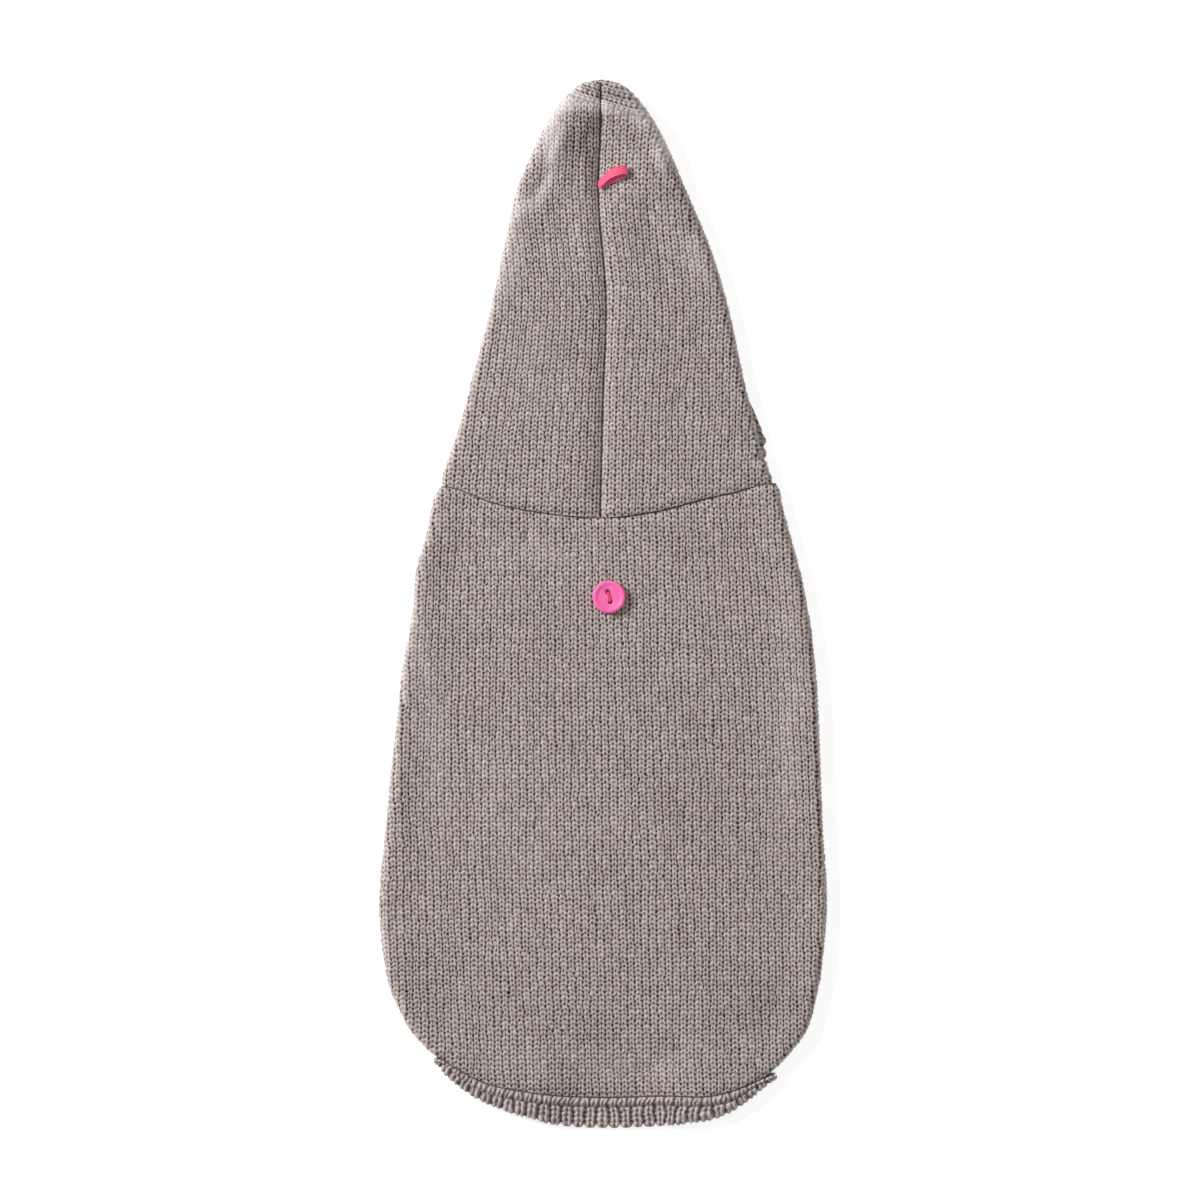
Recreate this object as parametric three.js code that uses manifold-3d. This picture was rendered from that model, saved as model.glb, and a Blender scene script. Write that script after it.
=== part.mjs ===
// A knitted dog sweater with a pointed hood, laid flat on its belly with its back up.
// Units are millimetres. +X is the garment's right as seen from above, +Y points to the
// hood's tip, +Z is up, and the origin is below the middle of the whole outline.
import * as THREE from 'three';
import { mergeVertices } from 'three/addons/utils/BufferGeometryUtils.js';
import Module from 'manifold-3d';

const wasm = await Module();
wasm.setup();

// Driving sizes
const wall = 2.4;              // thickness of the knitted cloth
const seamGap = 0.3;           // space between two pieces at a seam
const neckClearance = 0.2;     // space on each side of the curved neck line
const hemClearance = 0.25;     // space on each side of the curved hem line
const layerTop = 2.6;          // height that parts the lower cloth from the upper cloth
const tip = { x: -0.8, y: 214.4, curve: 4.97, domeLength: 8, start: 0.02 };
const hoodTableTop = 169.3;    // above this height the hood's outline is a parabola
const sideWrap = 20;           // how far the back folds under, up to the side seam
const edgeBlend = 14;          // width over which the rolled side runs into the flat top
const hemBand = { width: 12.3, ridge: 3.3, ribPitch: 4.75, ribHeight: 0.9, scallop: 0.9 };
const bandEnds = { left: -69.4, right: 70.4 };
const bandCorner = { length: 6, reach: 3.9, room: -0.8, gap: 0.6 };  // where the band ends beside a fold
const hemRoll = { radius: 1.6, flatUntil: 16, rolledFrom: 32 };
const bellyHemTop = -158;      // middle of the belly's hem
const throat = 40;             // middle of the neck seam on the underside
const neckFold = 66;           // the neck seam is level from about here to the side folds

// Hood outline and height: outer x of both side folds, radius of the fold's middle
// line, and height of the cloth's middle line between the folds
const hoodRows = [
  { y: 215, left: -4.0, right: 2.4, radius: 4.0, crown: 9.2 },
  { y: 200, left: -20.5, right: 19.0, radius: 4.0, crown: 9.2 },
  { y: 185, left: -29.0, right: 27.4, radius: 3.6, crown: 8.2 },
  { y: 169.3, left: -35.3, right: 34.0, radius: 3.1, crown: 7.1 },
  { y: 144.7, left: -41.0, right: 44.3, radius: 2.6, crown: 6.2 },
  { y: 120.1, left: -46.3, right: 51.7, radius: 2.4, crown: 5.8 },
  { y: 95.5, left: -52.9, right: 57.0, radius: 2.2, crown: 5.6 },
  { y: 70.9, left: -59.5, right: 63.2, radius: 2.1, crown: 5.4 },
  { y: 62.5, left: -62.4, right: 65.2, radius: 2.1, crown: 5.3 },
  { y: 54.5, left: -65.2, right: 68.2, radius: 2.1, crown: 5.2 },
  { y: 34.0, left: -70.5, right: 76.0, radius: 2.1, crown: 5.2 },
];

// Body outline and height, with the same columns
const bodyRows = [
  { y: 56.0, left: -64.6, right: 69.0, radius: 2.1, crown: 4.4 },
  { y: 49.7, left: -67.2, right: 72.0, radius: 2.1, crown: 4.4 },
  { y: 40.0, left: -70.2, right: 73.6, radius: 2.1, crown: 4.4 },
  { y: 29.9, left: -72.2, right: 76.3, radius: 2.1, crown: 4.4 },
  { y: 13.5, left: -76.7, right: 80.8, radius: 2.1, crown: 4.4 },
  { y: -2.9, left: -78.3, right: 84.1, radius: 2.1, crown: 4.4 },
  { y: -27.5, left: -82.4, right: 87.7, radius: 2.1, crown: 4.4 },
  { y: -60.3, left: -86.5, right: 89.4, radius: 2.1, crown: 4.4 },
  { y: -93.1, left: -89.8, right: 90.6, radius: 2.1, crown: 4.4 },
  { y: -121.8, left: -92.25, right: 92.25, radius: 2.1, crown: 4.4 },
  { y: -142.3, left: -91.0, right: 91.0, radius: 2.1, crown: 4.4 },
  { y: -158.7, left: -87.7, right: 88.2, radius: 2.1, crown: 4.4 },
  { y: -175.1, left: -79.1, right: 83.6, radius: 2.0, crown: 4.4 },
  { y: -183.3, left: -72.2, right: 77.9, radius: 1.9, crown: 4.4 },
  { y: -191.5, left: -66.0, right: 70.9, radius: 1.8, crown: 4.4 },
  { y: -199.7, left: -57.5, right: 64.5, radius: 1.7, crown: 4.4 },
  { y: -205.0, left: -50.0, right: 59.0, radius: 1.6, crown: 4.4 },
  { y: -209.0, left: -40.5, right: 51.5, radius: 1.6, crown: 4.4 },
  { y: -213.0, left: -31.5, right: 43.0, radius: 1.6, crown: 4.4 },
  { y: -220.0, left: -20.0, right: 30.0, radius: 1.6, crown: 4.4 },
];

// The line that the panels are measured from: the hood's seam, and the back's middle
const hoodSpine = [
  { y: 214.4, x: -0.8 },
  { y: 192.0, x: -1.2 },
  { y: 169.3, x: -2.0 },
  { y: 124.2, x: 1.2 },
  { y: 83.2, x: 0.0 },
  { y: 34.0, x: -1.2 },
];
const bodySpine = [
  { y: 56, x: 0.5 },
  { y: -220, x: 5.0 },
];

// Seams on the top side
const neckLine = [
  { x: -74, y: 47.4 },
  { x: -62.0, y: 47.2 },
  { x: -44.7, y: 41.0 },
  { x: -22.0, y: 36.6 },
  { x: 0.8, y: 34.9 },
  { x: 22.0, y: 37.6 },
  { x: 43.5, y: 43.1 },
  { x: 54.0, y: 45.4 },
  { x: 60.0, y: 47.1 },
  { x: 65.5, y: 48.5 },
  { x: 78.0, y: 48.7 },
];
// Reach is how far the hem's rib band shows beyond this line before it rolls under
const hemLine = [
  { x: -74, y: -187.0, reach: 3.0 },
  { x: -67.2, y: -186.6, reach: 3.9 },
  { x: -59.5, y: -191.3, reach: 6.0 },
  { x: -48.8, y: -196.8, reach: 7.8 },
  { x: -28.0, y: -201.2, reach: 11.0 },
  { x: -14.0, y: -202.6, reach: 12.3 },
  { x: 5, y: -203.1, reach: 12.5 },
  { x: 25, y: -202.4, reach: 12.2 },
  { x: 44, y: -202.4, reach: 10.0 },
  { x: 54, y: -200.0, reach: 7.5 },
  { x: 64.0, y: -195.8, reach: 4.3 },
  { x: 72.0, y: -191.6, reach: 3.0 },
  { x: 80.0, y: -189.0, reach: 3.0 },
];
// Ends of the belly's arched hem, on the underside of the two bottom corners
const archEnds = { left: { x: -66, y: -183.8 }, right: { x: 69.5, y: -192 } };

// Soft hollows and ridges of the hood's back and of the body's back. Turn is in degrees.
const hoodForms = [
  { x: 1.6, y: 182.5, across: 11, along: 15, turn: 0, height: -2.4 },
  { x: 3.7, y: 200.9, across: 10, along: 2.8, turn: -6, height: 1.1 },
  { x: -19.3, y: 183.7, across: 4, along: 15, turn: -12, height: 0.8 },
  { x: -27.5, y: 178.0, across: 4, along: 8, turn: -15, height: -1.0 },
  { x: 23.4, y: 182.5, across: 3.5, along: 10, turn: 14, height: 0.7 },
  { x: 20.0, y: 155.0, across: 6, along: 18, turn: 8, height: -0.6 },
  { x: -34.0, y: 148.0, across: 4, along: 14, turn: -28, height: 0.6 },
  { x: -50.0, y: 68.0, across: 3.5, along: 5, turn: -20, height: 0.5 },
];
const bodyForms = [
  { x: -31, y: 27, across: 3, along: 7, turn: 0, height: -0.3 },
  { x: -18, y: 28, across: 9, along: 7, turn: 0, height: 0.4 },
  { x: 2.5, y: 2.5, across: 12, along: 10, turn: 0, height: -0.35 },
  { x: -66, y: -18, across: 5, along: 22, turn: -16, height: 0.4 },
];
const seamValley = { across: 5, depth: 1.1, top: 205 };

// Openings. The face opening is an egg, wide at the neck; width is that of its rib band.
const face = { x: 8, y: 82, across: 52.5, along: 50, taper: 0.5, width: 11, thick: 2.3 };
const facePeek = { low: 54, high: 74, height: 1.3, ribPitch: 5.6 };
const faceSteps = 80;
const leg = { y: 6, across: 14, along: 21, seamInset: 21 };

// Hard and narrow trims
const button = { x: 2.5, y: 2.5, radius: 6.75, thick: 2.6, rim: 1.1, dish: 0.55 };
const buttonHole = { radius: 0.9, spread: 4.1, turn: 14 };
const ribbonThick = 0.75;
// The ribbon's two edges from its lower foot, over the far fold and back to its upper
// foot. Over is the height of its middle above the cloth below it.
const loopRows = [
  { step: 0, lowX: -1.8, lowY: 169.7, highX: -2.0, highY: 172.9, over: 0.6 },
  { step: 1, lowX: 2.5, lowY: 171.5, highX: 1.0, highY: 174.6, over: 0.7 },
  { step: 2, lowX: 5.8, lowY: 172.8, highX: 4.2, highY: 176.2, over: 0.7 },
  { step: 3, lowX: 8.4, lowY: 174.0, highX: 7.2, highY: 177.7, over: 0.75 },
  { step: 4, lowX: 10.1, lowY: 175.4, highX: 9.4, highY: 179.4, over: 1.6 },
  { step: 5, lowX: 8.5, lowY: 175.6, highX: 7.7, highY: 179.4, over: 2.5 },
  { step: 6, lowX: 5.8, lowY: 174.9, highX: 5.2, highY: 178.6, over: 3.0 },
  { step: 7, lowX: 2.8, lowY: 173.6, highX: 1.8, highY: 176.6, over: 2.8 },
  { step: 8, lowX: -1.8, lowY: 169.6, highX: -2.06, highY: 172.8, over: 1.95 },
];

const colours = {
  knit: 0x99908a,
  rib: 0x8f8685,
  button: 0xf97ab5,
  loop: 0xff5f86,
};

// Value of a named column between the rows of a table, on a smooth curve
function lookUp(rows, key, at, column) {
  const rising = rows[1][key] > rows[0][key];
  const list = rising ? rows : [...rows].reverse();
  let i = list.findIndex((row) => row[key] > at) - 1;
  if (i === -2) i = list.length - 2;
  i = Math.max(i, 0);
  const slope = (a, b) => (list[b][column] - list[a][column]) / (list[b][key] - list[a][key]);
  const inner = slope(i, i + 1);
  const before = i > 0 ? (slope(i - 1, i) + inner) / 2 : inner;
  const after = i + 2 < list.length ? (slope(i + 1, i + 2) + inner) / 2 : inner;
  const span = list[i + 1][key] - list[i][key];
  const t = Math.min(Math.max((at - list[i][key]) / span, 0), 1);
  const beyond = at - list[i][key] - t * span;
  const h = { a: 2 * t ** 3 - 3 * t ** 2 + 1, b: t ** 3 - 2 * t ** 2 + t, c: t ** 3 - t ** 2 };
  const curve = h.a * list[i][column] + h.b * span * before
    + (1 - h.a) * list[i + 1][column] + h.c * span * after;
  return curve + beyond * (beyond > 0 ? after : before);
}

function smooth(low, high, value) {
  const t = Math.min(Math.max((value - low) / (high - low), 0), 1);
  return t * t * (3 - 2 * t);
}

function mix(a, b, t) {
  return a + (b - a) * t;
}

function sumOfForms(forms, x, y) {
  return forms.reduce((sum, form) => {
    const turn = THREE.MathUtils.degToRad(form.turn);
    const dx = x - form.x;
    const dy = y - form.y;
    const a = (dx * Math.cos(turn) + dy * Math.sin(turn)) / form.across;
    const b = (dy * Math.cos(turn) - dx * Math.sin(turn)) / form.along;
    return sum + form.height * Math.exp(-a * a - b * b);
  }, 0);
}

// Height of the belly's hem on the underside
function archHeight(x) {
  const middle = (archEnds.left.x + archEnds.right.x) / 2;
  const end = x < middle ? archEnds.left : archEnds.right;
  const share = (x - middle) / (end.x - middle);
  return mix(bellyHemTop, end.y, share * share);
}

// The two tubes. Edge gives the middle line of the cloth at a side fold.
const hood = {
  inset: seamGap / 2,
  spine: (y) => lookUp(hoodSpine, 'y', y, 'x'),
  edge(side, y) {
    if (y > hoodTableTop) return tip.x + side * tip.curve * Math.sqrt(tip.y - y);
    return lookUp(hoodRows, 'y', y, side < 0 ? 'left' : 'right') - side * wall / 2;
  },
  heights: (y) => ({
    radius: lookUp(hoodRows, 'y', y, 'radius'),
    crown: lookUp(hoodRows, 'y', y, 'crown'),
  }),
  closing(y) {
    const near = Math.min((tip.y - y) / tip.domeLength, 1);
    return Math.sqrt(near * (2 - near));
  },
  relief(x, y, crown) {
    const fromSeam = (x - this.spine(y)) / seamValley.across;
    const valley = seamValley.depth * Math.exp(-fromSeam * fromSeam);
    const fade = 1 - smooth(seamValley.top - 8, seamValley.top, y);
    return crown + sumOfForms(hoodForms, x, y) - valley * fade;
  },
};

const body = {
  inset: 0,
  spine: (y) => lookUp(bodySpine, 'y', y, 'x'),
  edge: (side, y) => lookUp(bodyRows, 'y', y, side < 0 ? 'left' : 'right') - side * wall / 2,
  heights: (y) => ({
    radius: lookUp(bodyRows, 'y', y, 'radius'),
    crown: lookUp(bodyRows, 'y', y, 'crown'),
  }),
  closing: () => 1,
  relief(x, y, crown) {
    const middle = this.spine(y);
    const outwards = Math.abs(x - middle);
    const bellyEnd = archHeight(x) - hemBand.width;
    const overBelly = smooth(bellyEnd - 14, bellyEnd - 2, y);
    const overRoll = smooth(hemRoll.flatUntil, hemRoll.rolledFrom, outwards);
    const lift = Math.max(overBelly, overRoll);
    return mix(wall / 2, crown + sumOfForms(bodyForms, x, y), lift);
  },
};

// Section of a tube at y. The cloth's middle line runs from the spine along the top,
// round the side fold and back along the underside.
function sectionAt(tube, side, y) {
  const { radius, crown } = tube.heights(y);
  const closing = tube.closing(y);
  const edge = tube.edge(side, y);
  const start = tube.spine(y) + side * tube.inset;
  const reach = Math.max(side * (edge - start), 0.1);
  const turnRadius = Math.min(radius * closing, reach * 0.8);
  const axis = wall / 2 + radius;
  return {
    start,
    turn: start + side * (reach - turnRadius),
    radius: turnRadius,
    axis,
    crown: axis + (crown - axis) * closing,
    run: reach - turnRadius,
  };
}

// Point of the middle line. Place counts 0 to 1 along the top, 1 to 2 round the fold
// and 2 to 3 along the underside.
function onTube(tube, side, place, y) {
  const cut = sectionAt(tube, side, y);
  if (place <= 1) {
    const x = mix(cut.start, cut.turn, place);
    const fromTurn = (1 - place) * cut.run;
    const flat = tube.relief(x, y, cut.crown);
    const z = mix(cut.axis + cut.radius, flat, smooth(0, Math.min(edgeBlend, cut.run), fromTurn));
    return new THREE.Vector3(x, y, z);
  }
  if (place <= 2) {
    const angle = (place - 1) * Math.PI;
    const x = cut.turn + side * cut.radius * Math.sin(angle);
    return new THREE.Vector3(x, y, cut.axis + cut.radius * Math.cos(angle));
  }
  return new THREE.Vector3(mix(cut.turn, cut.start, place - 2), y, cut.axis - cut.radius);
}

// Outward direction of the cloth. At the neck and the hem it has no part along the
// garment, so that the pieces meet edge to edge.
function outwards(tube, side, place, y) {
  const step = 0.02;
  const low = Math.max(place - step, 0);
  const high = Math.min(place + step, 3);
  const across = onTube(tube, side, high, y).sub(onTube(tube, side, low, y));
  const alongStep = Math.min(0.4, (tip.y - y) / 4);
  const along = onTube(tube, side, place, y + alongStep);
  along.sub(onTube(tube, side, place, y - alongStep));
  const normal = across.cross(along).multiplyScalar(side);
  const middle = onTube(tube, side, place, y);
  const fromHem = y - lookUp(hemLine, 'x', middle.x, 'y');
  normal.y *= smooth(6, 22, Math.abs(y - 44)) * smooth(3, 15, fromHem);
  return normal.normalize();
}

function clothPoint(tube, side, place, y, raised = 0) {
  const middle = onTube(tube, side, place, y);
  const normal = outwards(tube, side, place, y);
  const outer = middle.clone().addScaledVector(normal, wall / 2);
  const facing = smooth(-0.9, -0.2, normal.z);
  outer.addScaledVector(normal, raised * facing);
  return { outer, inner: middle.addScaledVector(normal, -wall / 2) };
}

// Place of a point that lies a given run of cloth away from the spine
function placeOfRun(tube, side, run, y) {
  const cut = sectionAt(tube, side, y);
  if (run <= cut.run) return run / cut.run;
  const turnRun = Math.PI * cut.radius;
  if (run <= cut.run + turnRun) return 1 + (run - cut.run) / turnRun;
  return 2 + (run - cut.run - turnRun) / cut.run;
}

// Height of a seam on the top side of a tube, and on to its side fold
function topSeamHeight(tube, side, place, line) {
  let y = lookUp(line, 'x', 0, 'y');
  for (let pass = 0; pass < 6; pass += 1) {
    const x = onTube(tube, side, Math.min(place, 1), y).x;
    y = lookUp(line, 'x', x, 'y');
  }
  return y;
}

// The neck seam is level round the folds and dips to the throat underneath
function neckHeight(tube, side, place) {
  if (place <= 1) return topSeamHeight(tube, side, place, neckLine);
  const end = lookUp(neckLine, 'x', side * neckFold, 'y');
  if (place <= 2) return end;
  const x = onTube(tube, side, place, end).x;
  const outwardShare = Math.min(Math.abs(x) / neckFold, 1);
  return mix(throat, end, outwardShare ** 2);
}

function hemHeight(side, place) {
  const onTop = topSeamHeight(body, side, place, hemLine);
  if (place <= 1) return onTop;
  let y = onTop;
  for (let pass = 0; pass < 12; pass += 1) {
    const x = onTube(body, side, Math.max(place, 2), y).x;
    y = mix(y, archHeight(x), 0.6);
  }
  return mix(onTop, y, Math.min(place - 1, 1));
}

// Place of the side seam, on the underside, at a distance from the fold
function sideSeamPlace(side, y, wrap) {
  return 2 + wrap / sectionAt(body, side, y).run;
}

// A closed wall from a grid of outer and inner points
function wallGeometry(columns, rows, pointsAt, ring = false) {
  const positions = [];
  const index = [];
  for (let i = 0; i <= columns; i += 1) {
    for (let j = 0; j <= rows; j += 1) {
      const { outer, inner } = pointsAt(i, j);
      positions.push(outer.x, outer.y, outer.z, inner.x, inner.y, inner.z);
    }
  }
  const wrap = (i) => (ring ? i % columns : i);
  const outerAt = (i, j) => 2 * (wrap(i) * (rows + 1) + j);
  const innerAt = (i, j) => outerAt(i, j) + 1;
  const quad = (a, b, c, d) => index.push(a, b, c, a, c, d);
  for (let i = 0; i < columns; i += 1) {
    for (let j = 0; j < rows; j += 1) {
      quad(outerAt(i, j), outerAt(i + 1, j), outerAt(i + 1, j + 1), outerAt(i, j + 1));
      quad(innerAt(i, j), innerAt(i, j + 1), innerAt(i + 1, j + 1), innerAt(i + 1, j));
    }
    quad(outerAt(i, 0), innerAt(i, 0), innerAt(i + 1, 0), outerAt(i + 1, 0));
    quad(outerAt(i, rows), outerAt(i + 1, rows), innerAt(i + 1, rows), innerAt(i, rows));
  }
  if (!ring) {
    for (let j = 0; j < rows; j += 1) {
      quad(outerAt(0, j), outerAt(0, j + 1), innerAt(0, j + 1), innerAt(0, j));
      quad(outerAt(columns, j), innerAt(columns, j), innerAt(columns, j + 1), outerAt(columns, j + 1));
    }
  }
  const geometry = new THREE.BufferGeometry();
  geometry.setAttribute('position', new THREE.Float32BufferAttribute(positions, 3));
  geometry.setIndex(index);
  return facingOut(mergeVertices(geometry, 1e-4));
}

// Turns the faces round where the solid was wound inside out
function facingOut(geometry) {
  const position = geometry.getAttribute('position');
  const corners = geometry.index.array;
  const [a, b, c] = [new THREE.Vector3(), new THREE.Vector3(), new THREE.Vector3()];
  let volume = 0;
  for (let i = 0; i < corners.length; i += 3) {
    a.fromBufferAttribute(position, corners[i]);
    b.fromBufferAttribute(position, corners[i + 1]);
    c.fromBufferAttribute(position, corners[i + 2]);
    volume += a.dot(b.cross(c));
  }
  if (volume < 0) {
    for (let i = 0; i < corners.length; i += 3) {
      [corners[i], corners[i + 1]] = [corners[i + 1], corners[i]];
    }
  }
  return geometry;
}

function toSolid(geometry) {
  const plain = geometry.clone();
  plain.deleteAttribute('normal');
  plain.deleteAttribute('uv');
  const merged = mergeVertices(plain, 1e-4);
  return new wasm.Manifold(new wasm.Mesh({
    numProp: 3,
    vertProperties: Float32Array.from(merged.getAttribute('position').array),
    triVerts: Uint32Array.from(merged.index.array),
  }));
}

function fromSolid(solid) {
  const mesh = solid.getMesh();
  const geometry = new THREE.BufferGeometry();
  geometry.setAttribute('position', new THREE.BufferAttribute(mesh.vertProperties, 3));
  geometry.setIndex(new THREE.BufferAttribute(mesh.triVerts, 1));
  return geometry;
}

function without(geometry, ...cutters) {
  const rest = cutters.reduce((solid, cutter) => solid.subtract(toSolid(cutter)), toSolid(geometry));
  return fromSolid(rest);
}

// Outline of the face opening: grow moves it out from the opening's inner edge
function facePoint(angle, grow) {
  const across = face.across - face.width + grow;
  const along = face.along - face.width + grow;
  return new THREE.Vector2(
    face.x + across * Math.cos(angle) * (1 - face.taper * Math.sin(angle)),
    face.y + along * Math.sin(angle),
  );
}

// Width of the face band: ribs stand out where its outer edge looks out beside the neck
function faceBandWidth(angle) {
  const edge = facePoint(angle, face.width);
  if (edge.x < face.x) return face.width;
  const window = smooth(facePeek.low, facePeek.low + 5, edge.y)
    * (1 - smooth(facePeek.high - 5, facePeek.high, edge.y));
  const wave = Math.abs(Math.cos((edge.y / facePeek.ribPitch) * Math.PI));
  return face.width + window * wave * facePeek.height;
}

// A cutter that goes through the lower cloth only
function lowerCutter(outline) {
  const below = 2;
  const geometry = new THREE.ExtrudeGeometry(new THREE.Shape(outline), {
    depth: layerTop + below,
    bevelEnabled: false,
  });
  return geometry.translate(0, 0, -below);
}

function faceCutter() {
  const outline = [];
  for (let i = 0; i < faceSteps; i += 1) {
    const angle = (i / faceSteps) * 2 * Math.PI;
    outline.push(facePoint(angle, faceBandWidth(angle) + seamGap));
  }
  return lowerCutter(outline);
}

function legCutter(side) {
  const steps = 28;
  const middle = body.edge(side, leg.y) - side * leg.seamInset;
  const outline = [];
  for (let i = 0; i < steps; i += 1) {
    const angle = (i / steps) * 2 * Math.PI;
    outline.push(new THREE.Vector2(
      middle + leg.across * Math.cos(angle),
      leg.y + leg.along * Math.sin(angle),
    ));
  }
  return lowerCutter(outline);
}

// Pieces
const topSteps = 8;
const foldSteps = 4;

function hoodHalf(side) {
  const underSteps = 5;
  const columns = topSteps + foldSteps + underSteps;
  const rows = 27;
  const easing = 0.16;
  const geometry = wallGeometry(columns, rows, (i, j) => {
    let place = i / topSteps;
    if (i > topSteps) place = 1 + (i - topSteps) / foldSteps;
    if (i > topSteps + foldSteps) place = 2 + (i - topSteps - foldSteps) / underSteps;
    const t = j / rows;
    const down = (t * t * (1 + easing)) / (t + easing);
    const low = neckHeight(hood, side, place) + neckClearance;
    const y = mix(tip.y - tip.start, low, down);
    return clothPoint(hood, side, place, y);
  });
  return without(geometry, faceCutter());
}

function backPanel() {
  const sideTop = 8;
  const wrapSteps = 2;
  const half = sideTop + foldSteps + wrapSteps;
  const rows = 24;
  const geometry = wallGeometry(2 * half, rows, (i, j) => {
    const side = i < half ? -1 : 1;
    const step = Math.abs(i - half);
    const t = j / rows;
    let place = step / sideTop;
    if (step > sideTop) place = 1 + (step - sideTop) / foldSteps;
    const isWrap = step > sideTop + foldSteps;
    const share = (step - sideTop - foldSteps) / wrapSteps;
    let y = 0;
    for (let pass = 0; pass < 4; pass += 1) {
      if (isWrap) {
        const seam = sideSeamPlace(side, y, sideWrap - seamGap / 2);
        place = mix(2, seam, share);
      }
      const high = neckHeight(body, side, place) - neckClearance;
      y = mix(high, hemHeight(side, place) + hemClearance, t);
    }
    return clothPoint(body, side, place, y);
  });
  return without(geometry, legCutter(-1), legCutter(1), faceCutter());
}

function bellyPanel() {
  const half = 5;
  const rows = 18;
  const geometry = wallGeometry(2 * half, rows, (i, j) => {
    const side = i < half ? -1 : 1;
    const share = 1 - Math.abs(i - half) / half;
    const t = j / rows;
    let y = 0;
    let place = 3;
    for (let pass = 0; pass < 4; pass += 1) {
      place = mix(sideSeamPlace(side, y, sideWrap + seamGap / 2), 3, share);
      const high = neckHeight(body, side, place) - neckClearance;
      y = mix(high, hemHeight(side, place) + seamGap / 2, t);
    }
    return clothPoint(body, side, place, y);
  });
  return without(geometry, legCutter(-1), legCutter(1), faceCutter());
}

// Cross-section of the hem band. Down is the run of cloth from the seam, out is the
// distance from the seam line, and facing is the outward direction.
function bandSection(start, turn, rolled, down) {
  const flat = mix(start, wall / 2, smooth(0, hemBand.width, down));
  const angle = Math.min(Math.max((down - turn) / hemRoll.radius, 0), Math.PI);
  const under = Math.max(down - turn - Math.PI * hemRoll.radius, 0);
  const out = Math.min(down, turn) + hemRoll.radius * Math.sin(angle) - under;
  const rolledHeight = wall / 2 + hemRoll.radius * (1 + Math.cos(angle));
  return {
    out: mix(down, out, rolled),
    height: mix(flat, rolledHeight, rolled),
    tilt: angle * rolled,
  };
}

// Evenly spaced places along the hem line on the top side, from corner to corner
function hemStations(count) {
  const [first, last] = [bandEnds.left, bandEnds.right];
  const fine = 400;
  const walk = [{ x: first, run: 0 }];
  for (let i = 1; i <= fine; i += 1) {
    const before = walk[i - 1];
    const x = mix(first, last, i / fine);
    const rise = lookUp(hemLine, 'x', x, 'y') - lookUp(hemLine, 'x', before.x, 'y');
    walk.push({ x, run: before.run + Math.hypot(x - before.x, rise) });
  }
  const total = walk[fine].run;
  const ribs = Math.round(total / hemBand.ribPitch);
  const stations = Array.from({ length: ribs * count + 1 }, (_, i) => (
    lookUp(walk, 'run', (total * i) / (ribs * count), 'x')
  ));
  return stations;
}

function hemBandBack() {
  const ribSteps = 4;
  const ridgeHeight = 0.8;
  const stations = hemStations(ribSteps);
  const levels = [
    { down: 0, raised: 0, rib: 0 },
    { down: hemBand.ridge / 2, raised: ridgeHeight, rib: 0 },
    { down: hemBand.ridge, raised: 0, rib: 0 },
    { down: hemBand.ridge + 1.5, raised: 0, rib: 1 },
    { down: hemBand.width - 4, raised: 0, rib: 1 },
    { down: hemBand.width - 1.4, raised: 0, rib: 1 },
    { down: hemBand.width, raised: 0, rib: 0.3 },
  ];
  return wallGeometry(stations.length - 1, levels.length - 1, (i, j) => {
    const x = stations[i];
    const level = levels[j];
    const wave = (1 - Math.cos((i / ribSteps) * 2 * Math.PI)) / 2;
    const y = lookUp(hemLine, 'x', x, 'y');
    const rise = lookUp(hemLine, 'x', x + 1, 'y') - lookUp(hemLine, 'x', x - 1, 'y');
    const outward = new THREE.Vector3(rise, -2, 0).normalize();
    const reach = lookUp(hemLine, 'x', x, 'reach');
    const rolled = smooth(hemRoll.flatUntil, hemRoll.rolledFrom, Math.abs(x - body.spine(y)));
    const fromEnd = Math.min(x - bandEnds.left, bandEnds.right - x);
    const corner = 1 - smooth(0, bandCorner.length, fromEnd);
    const ribHeight = hemBand.ribHeight * smooth(3, bandCorner.reach, reach);
    const turn = Math.max(reach - hemRoll.radius - wall / 2 - ribHeight, 0.2);
    const underCorner = turn + Math.PI * hemRoll.radius;
    const past = mix(3.4, bandCorner.room, corner);
    const room = mix(hemBand.width, Math.min(hemBand.width, underCorner + past), rolled);
    const shorten = (1 - wave) * hemBand.scallop * (level.down / hemBand.width);
    const gap = hemClearance + bandCorner.gap * corner;
    const down = gap + (level.down - shorten) * (room / hemBand.width);
    const start = body.relief(x, y, lookUp(bodyRows, 'y', y, 'crown'));
    const place = bandSection(start, turn, rolled, down);
    const middle = new THREE.Vector3(x, y, place.height).addScaledVector(outward, place.out);
    const normal = outward.clone().multiplyScalar(Math.sin(place.tilt));
    normal.z = Math.cos(place.tilt);
    const facing = smooth(-0.9, -0.2, normal.z);
    const raised = (level.raised * (1 - corner) + level.rib * wave * ribHeight) * facing;
    return {
      outer: middle.clone().addScaledVector(normal, wall / 2 + raised),
      inner: middle.addScaledVector(normal, -wall / 2),
    };
  });
}

// The belly's band lies flat on the underside, from corner to corner
function hemBandBelly() {
  const columns = 24;
  const rows = 3;
  const clear = 13;
  return wallGeometry(columns, rows, (i, j) => {
    const x = mix(archEnds.left.x + clear, archEnds.right.x - clear, i / columns);
    const rise = archHeight(x + 1) - archHeight(x - 1);
    const inward = new THREE.Vector2(rise, -2).normalize();
    const down = hemClearance + (j / rows) * hemBand.width;
    const foot = new THREE.Vector2(x, archHeight(x)).addScaledVector(inward, down);
    return {
      outer: new THREE.Vector3(foot.x, foot.y, 0),
      inner: new THREE.Vector3(foot.x, foot.y, wall),
    };
  });
}

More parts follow.
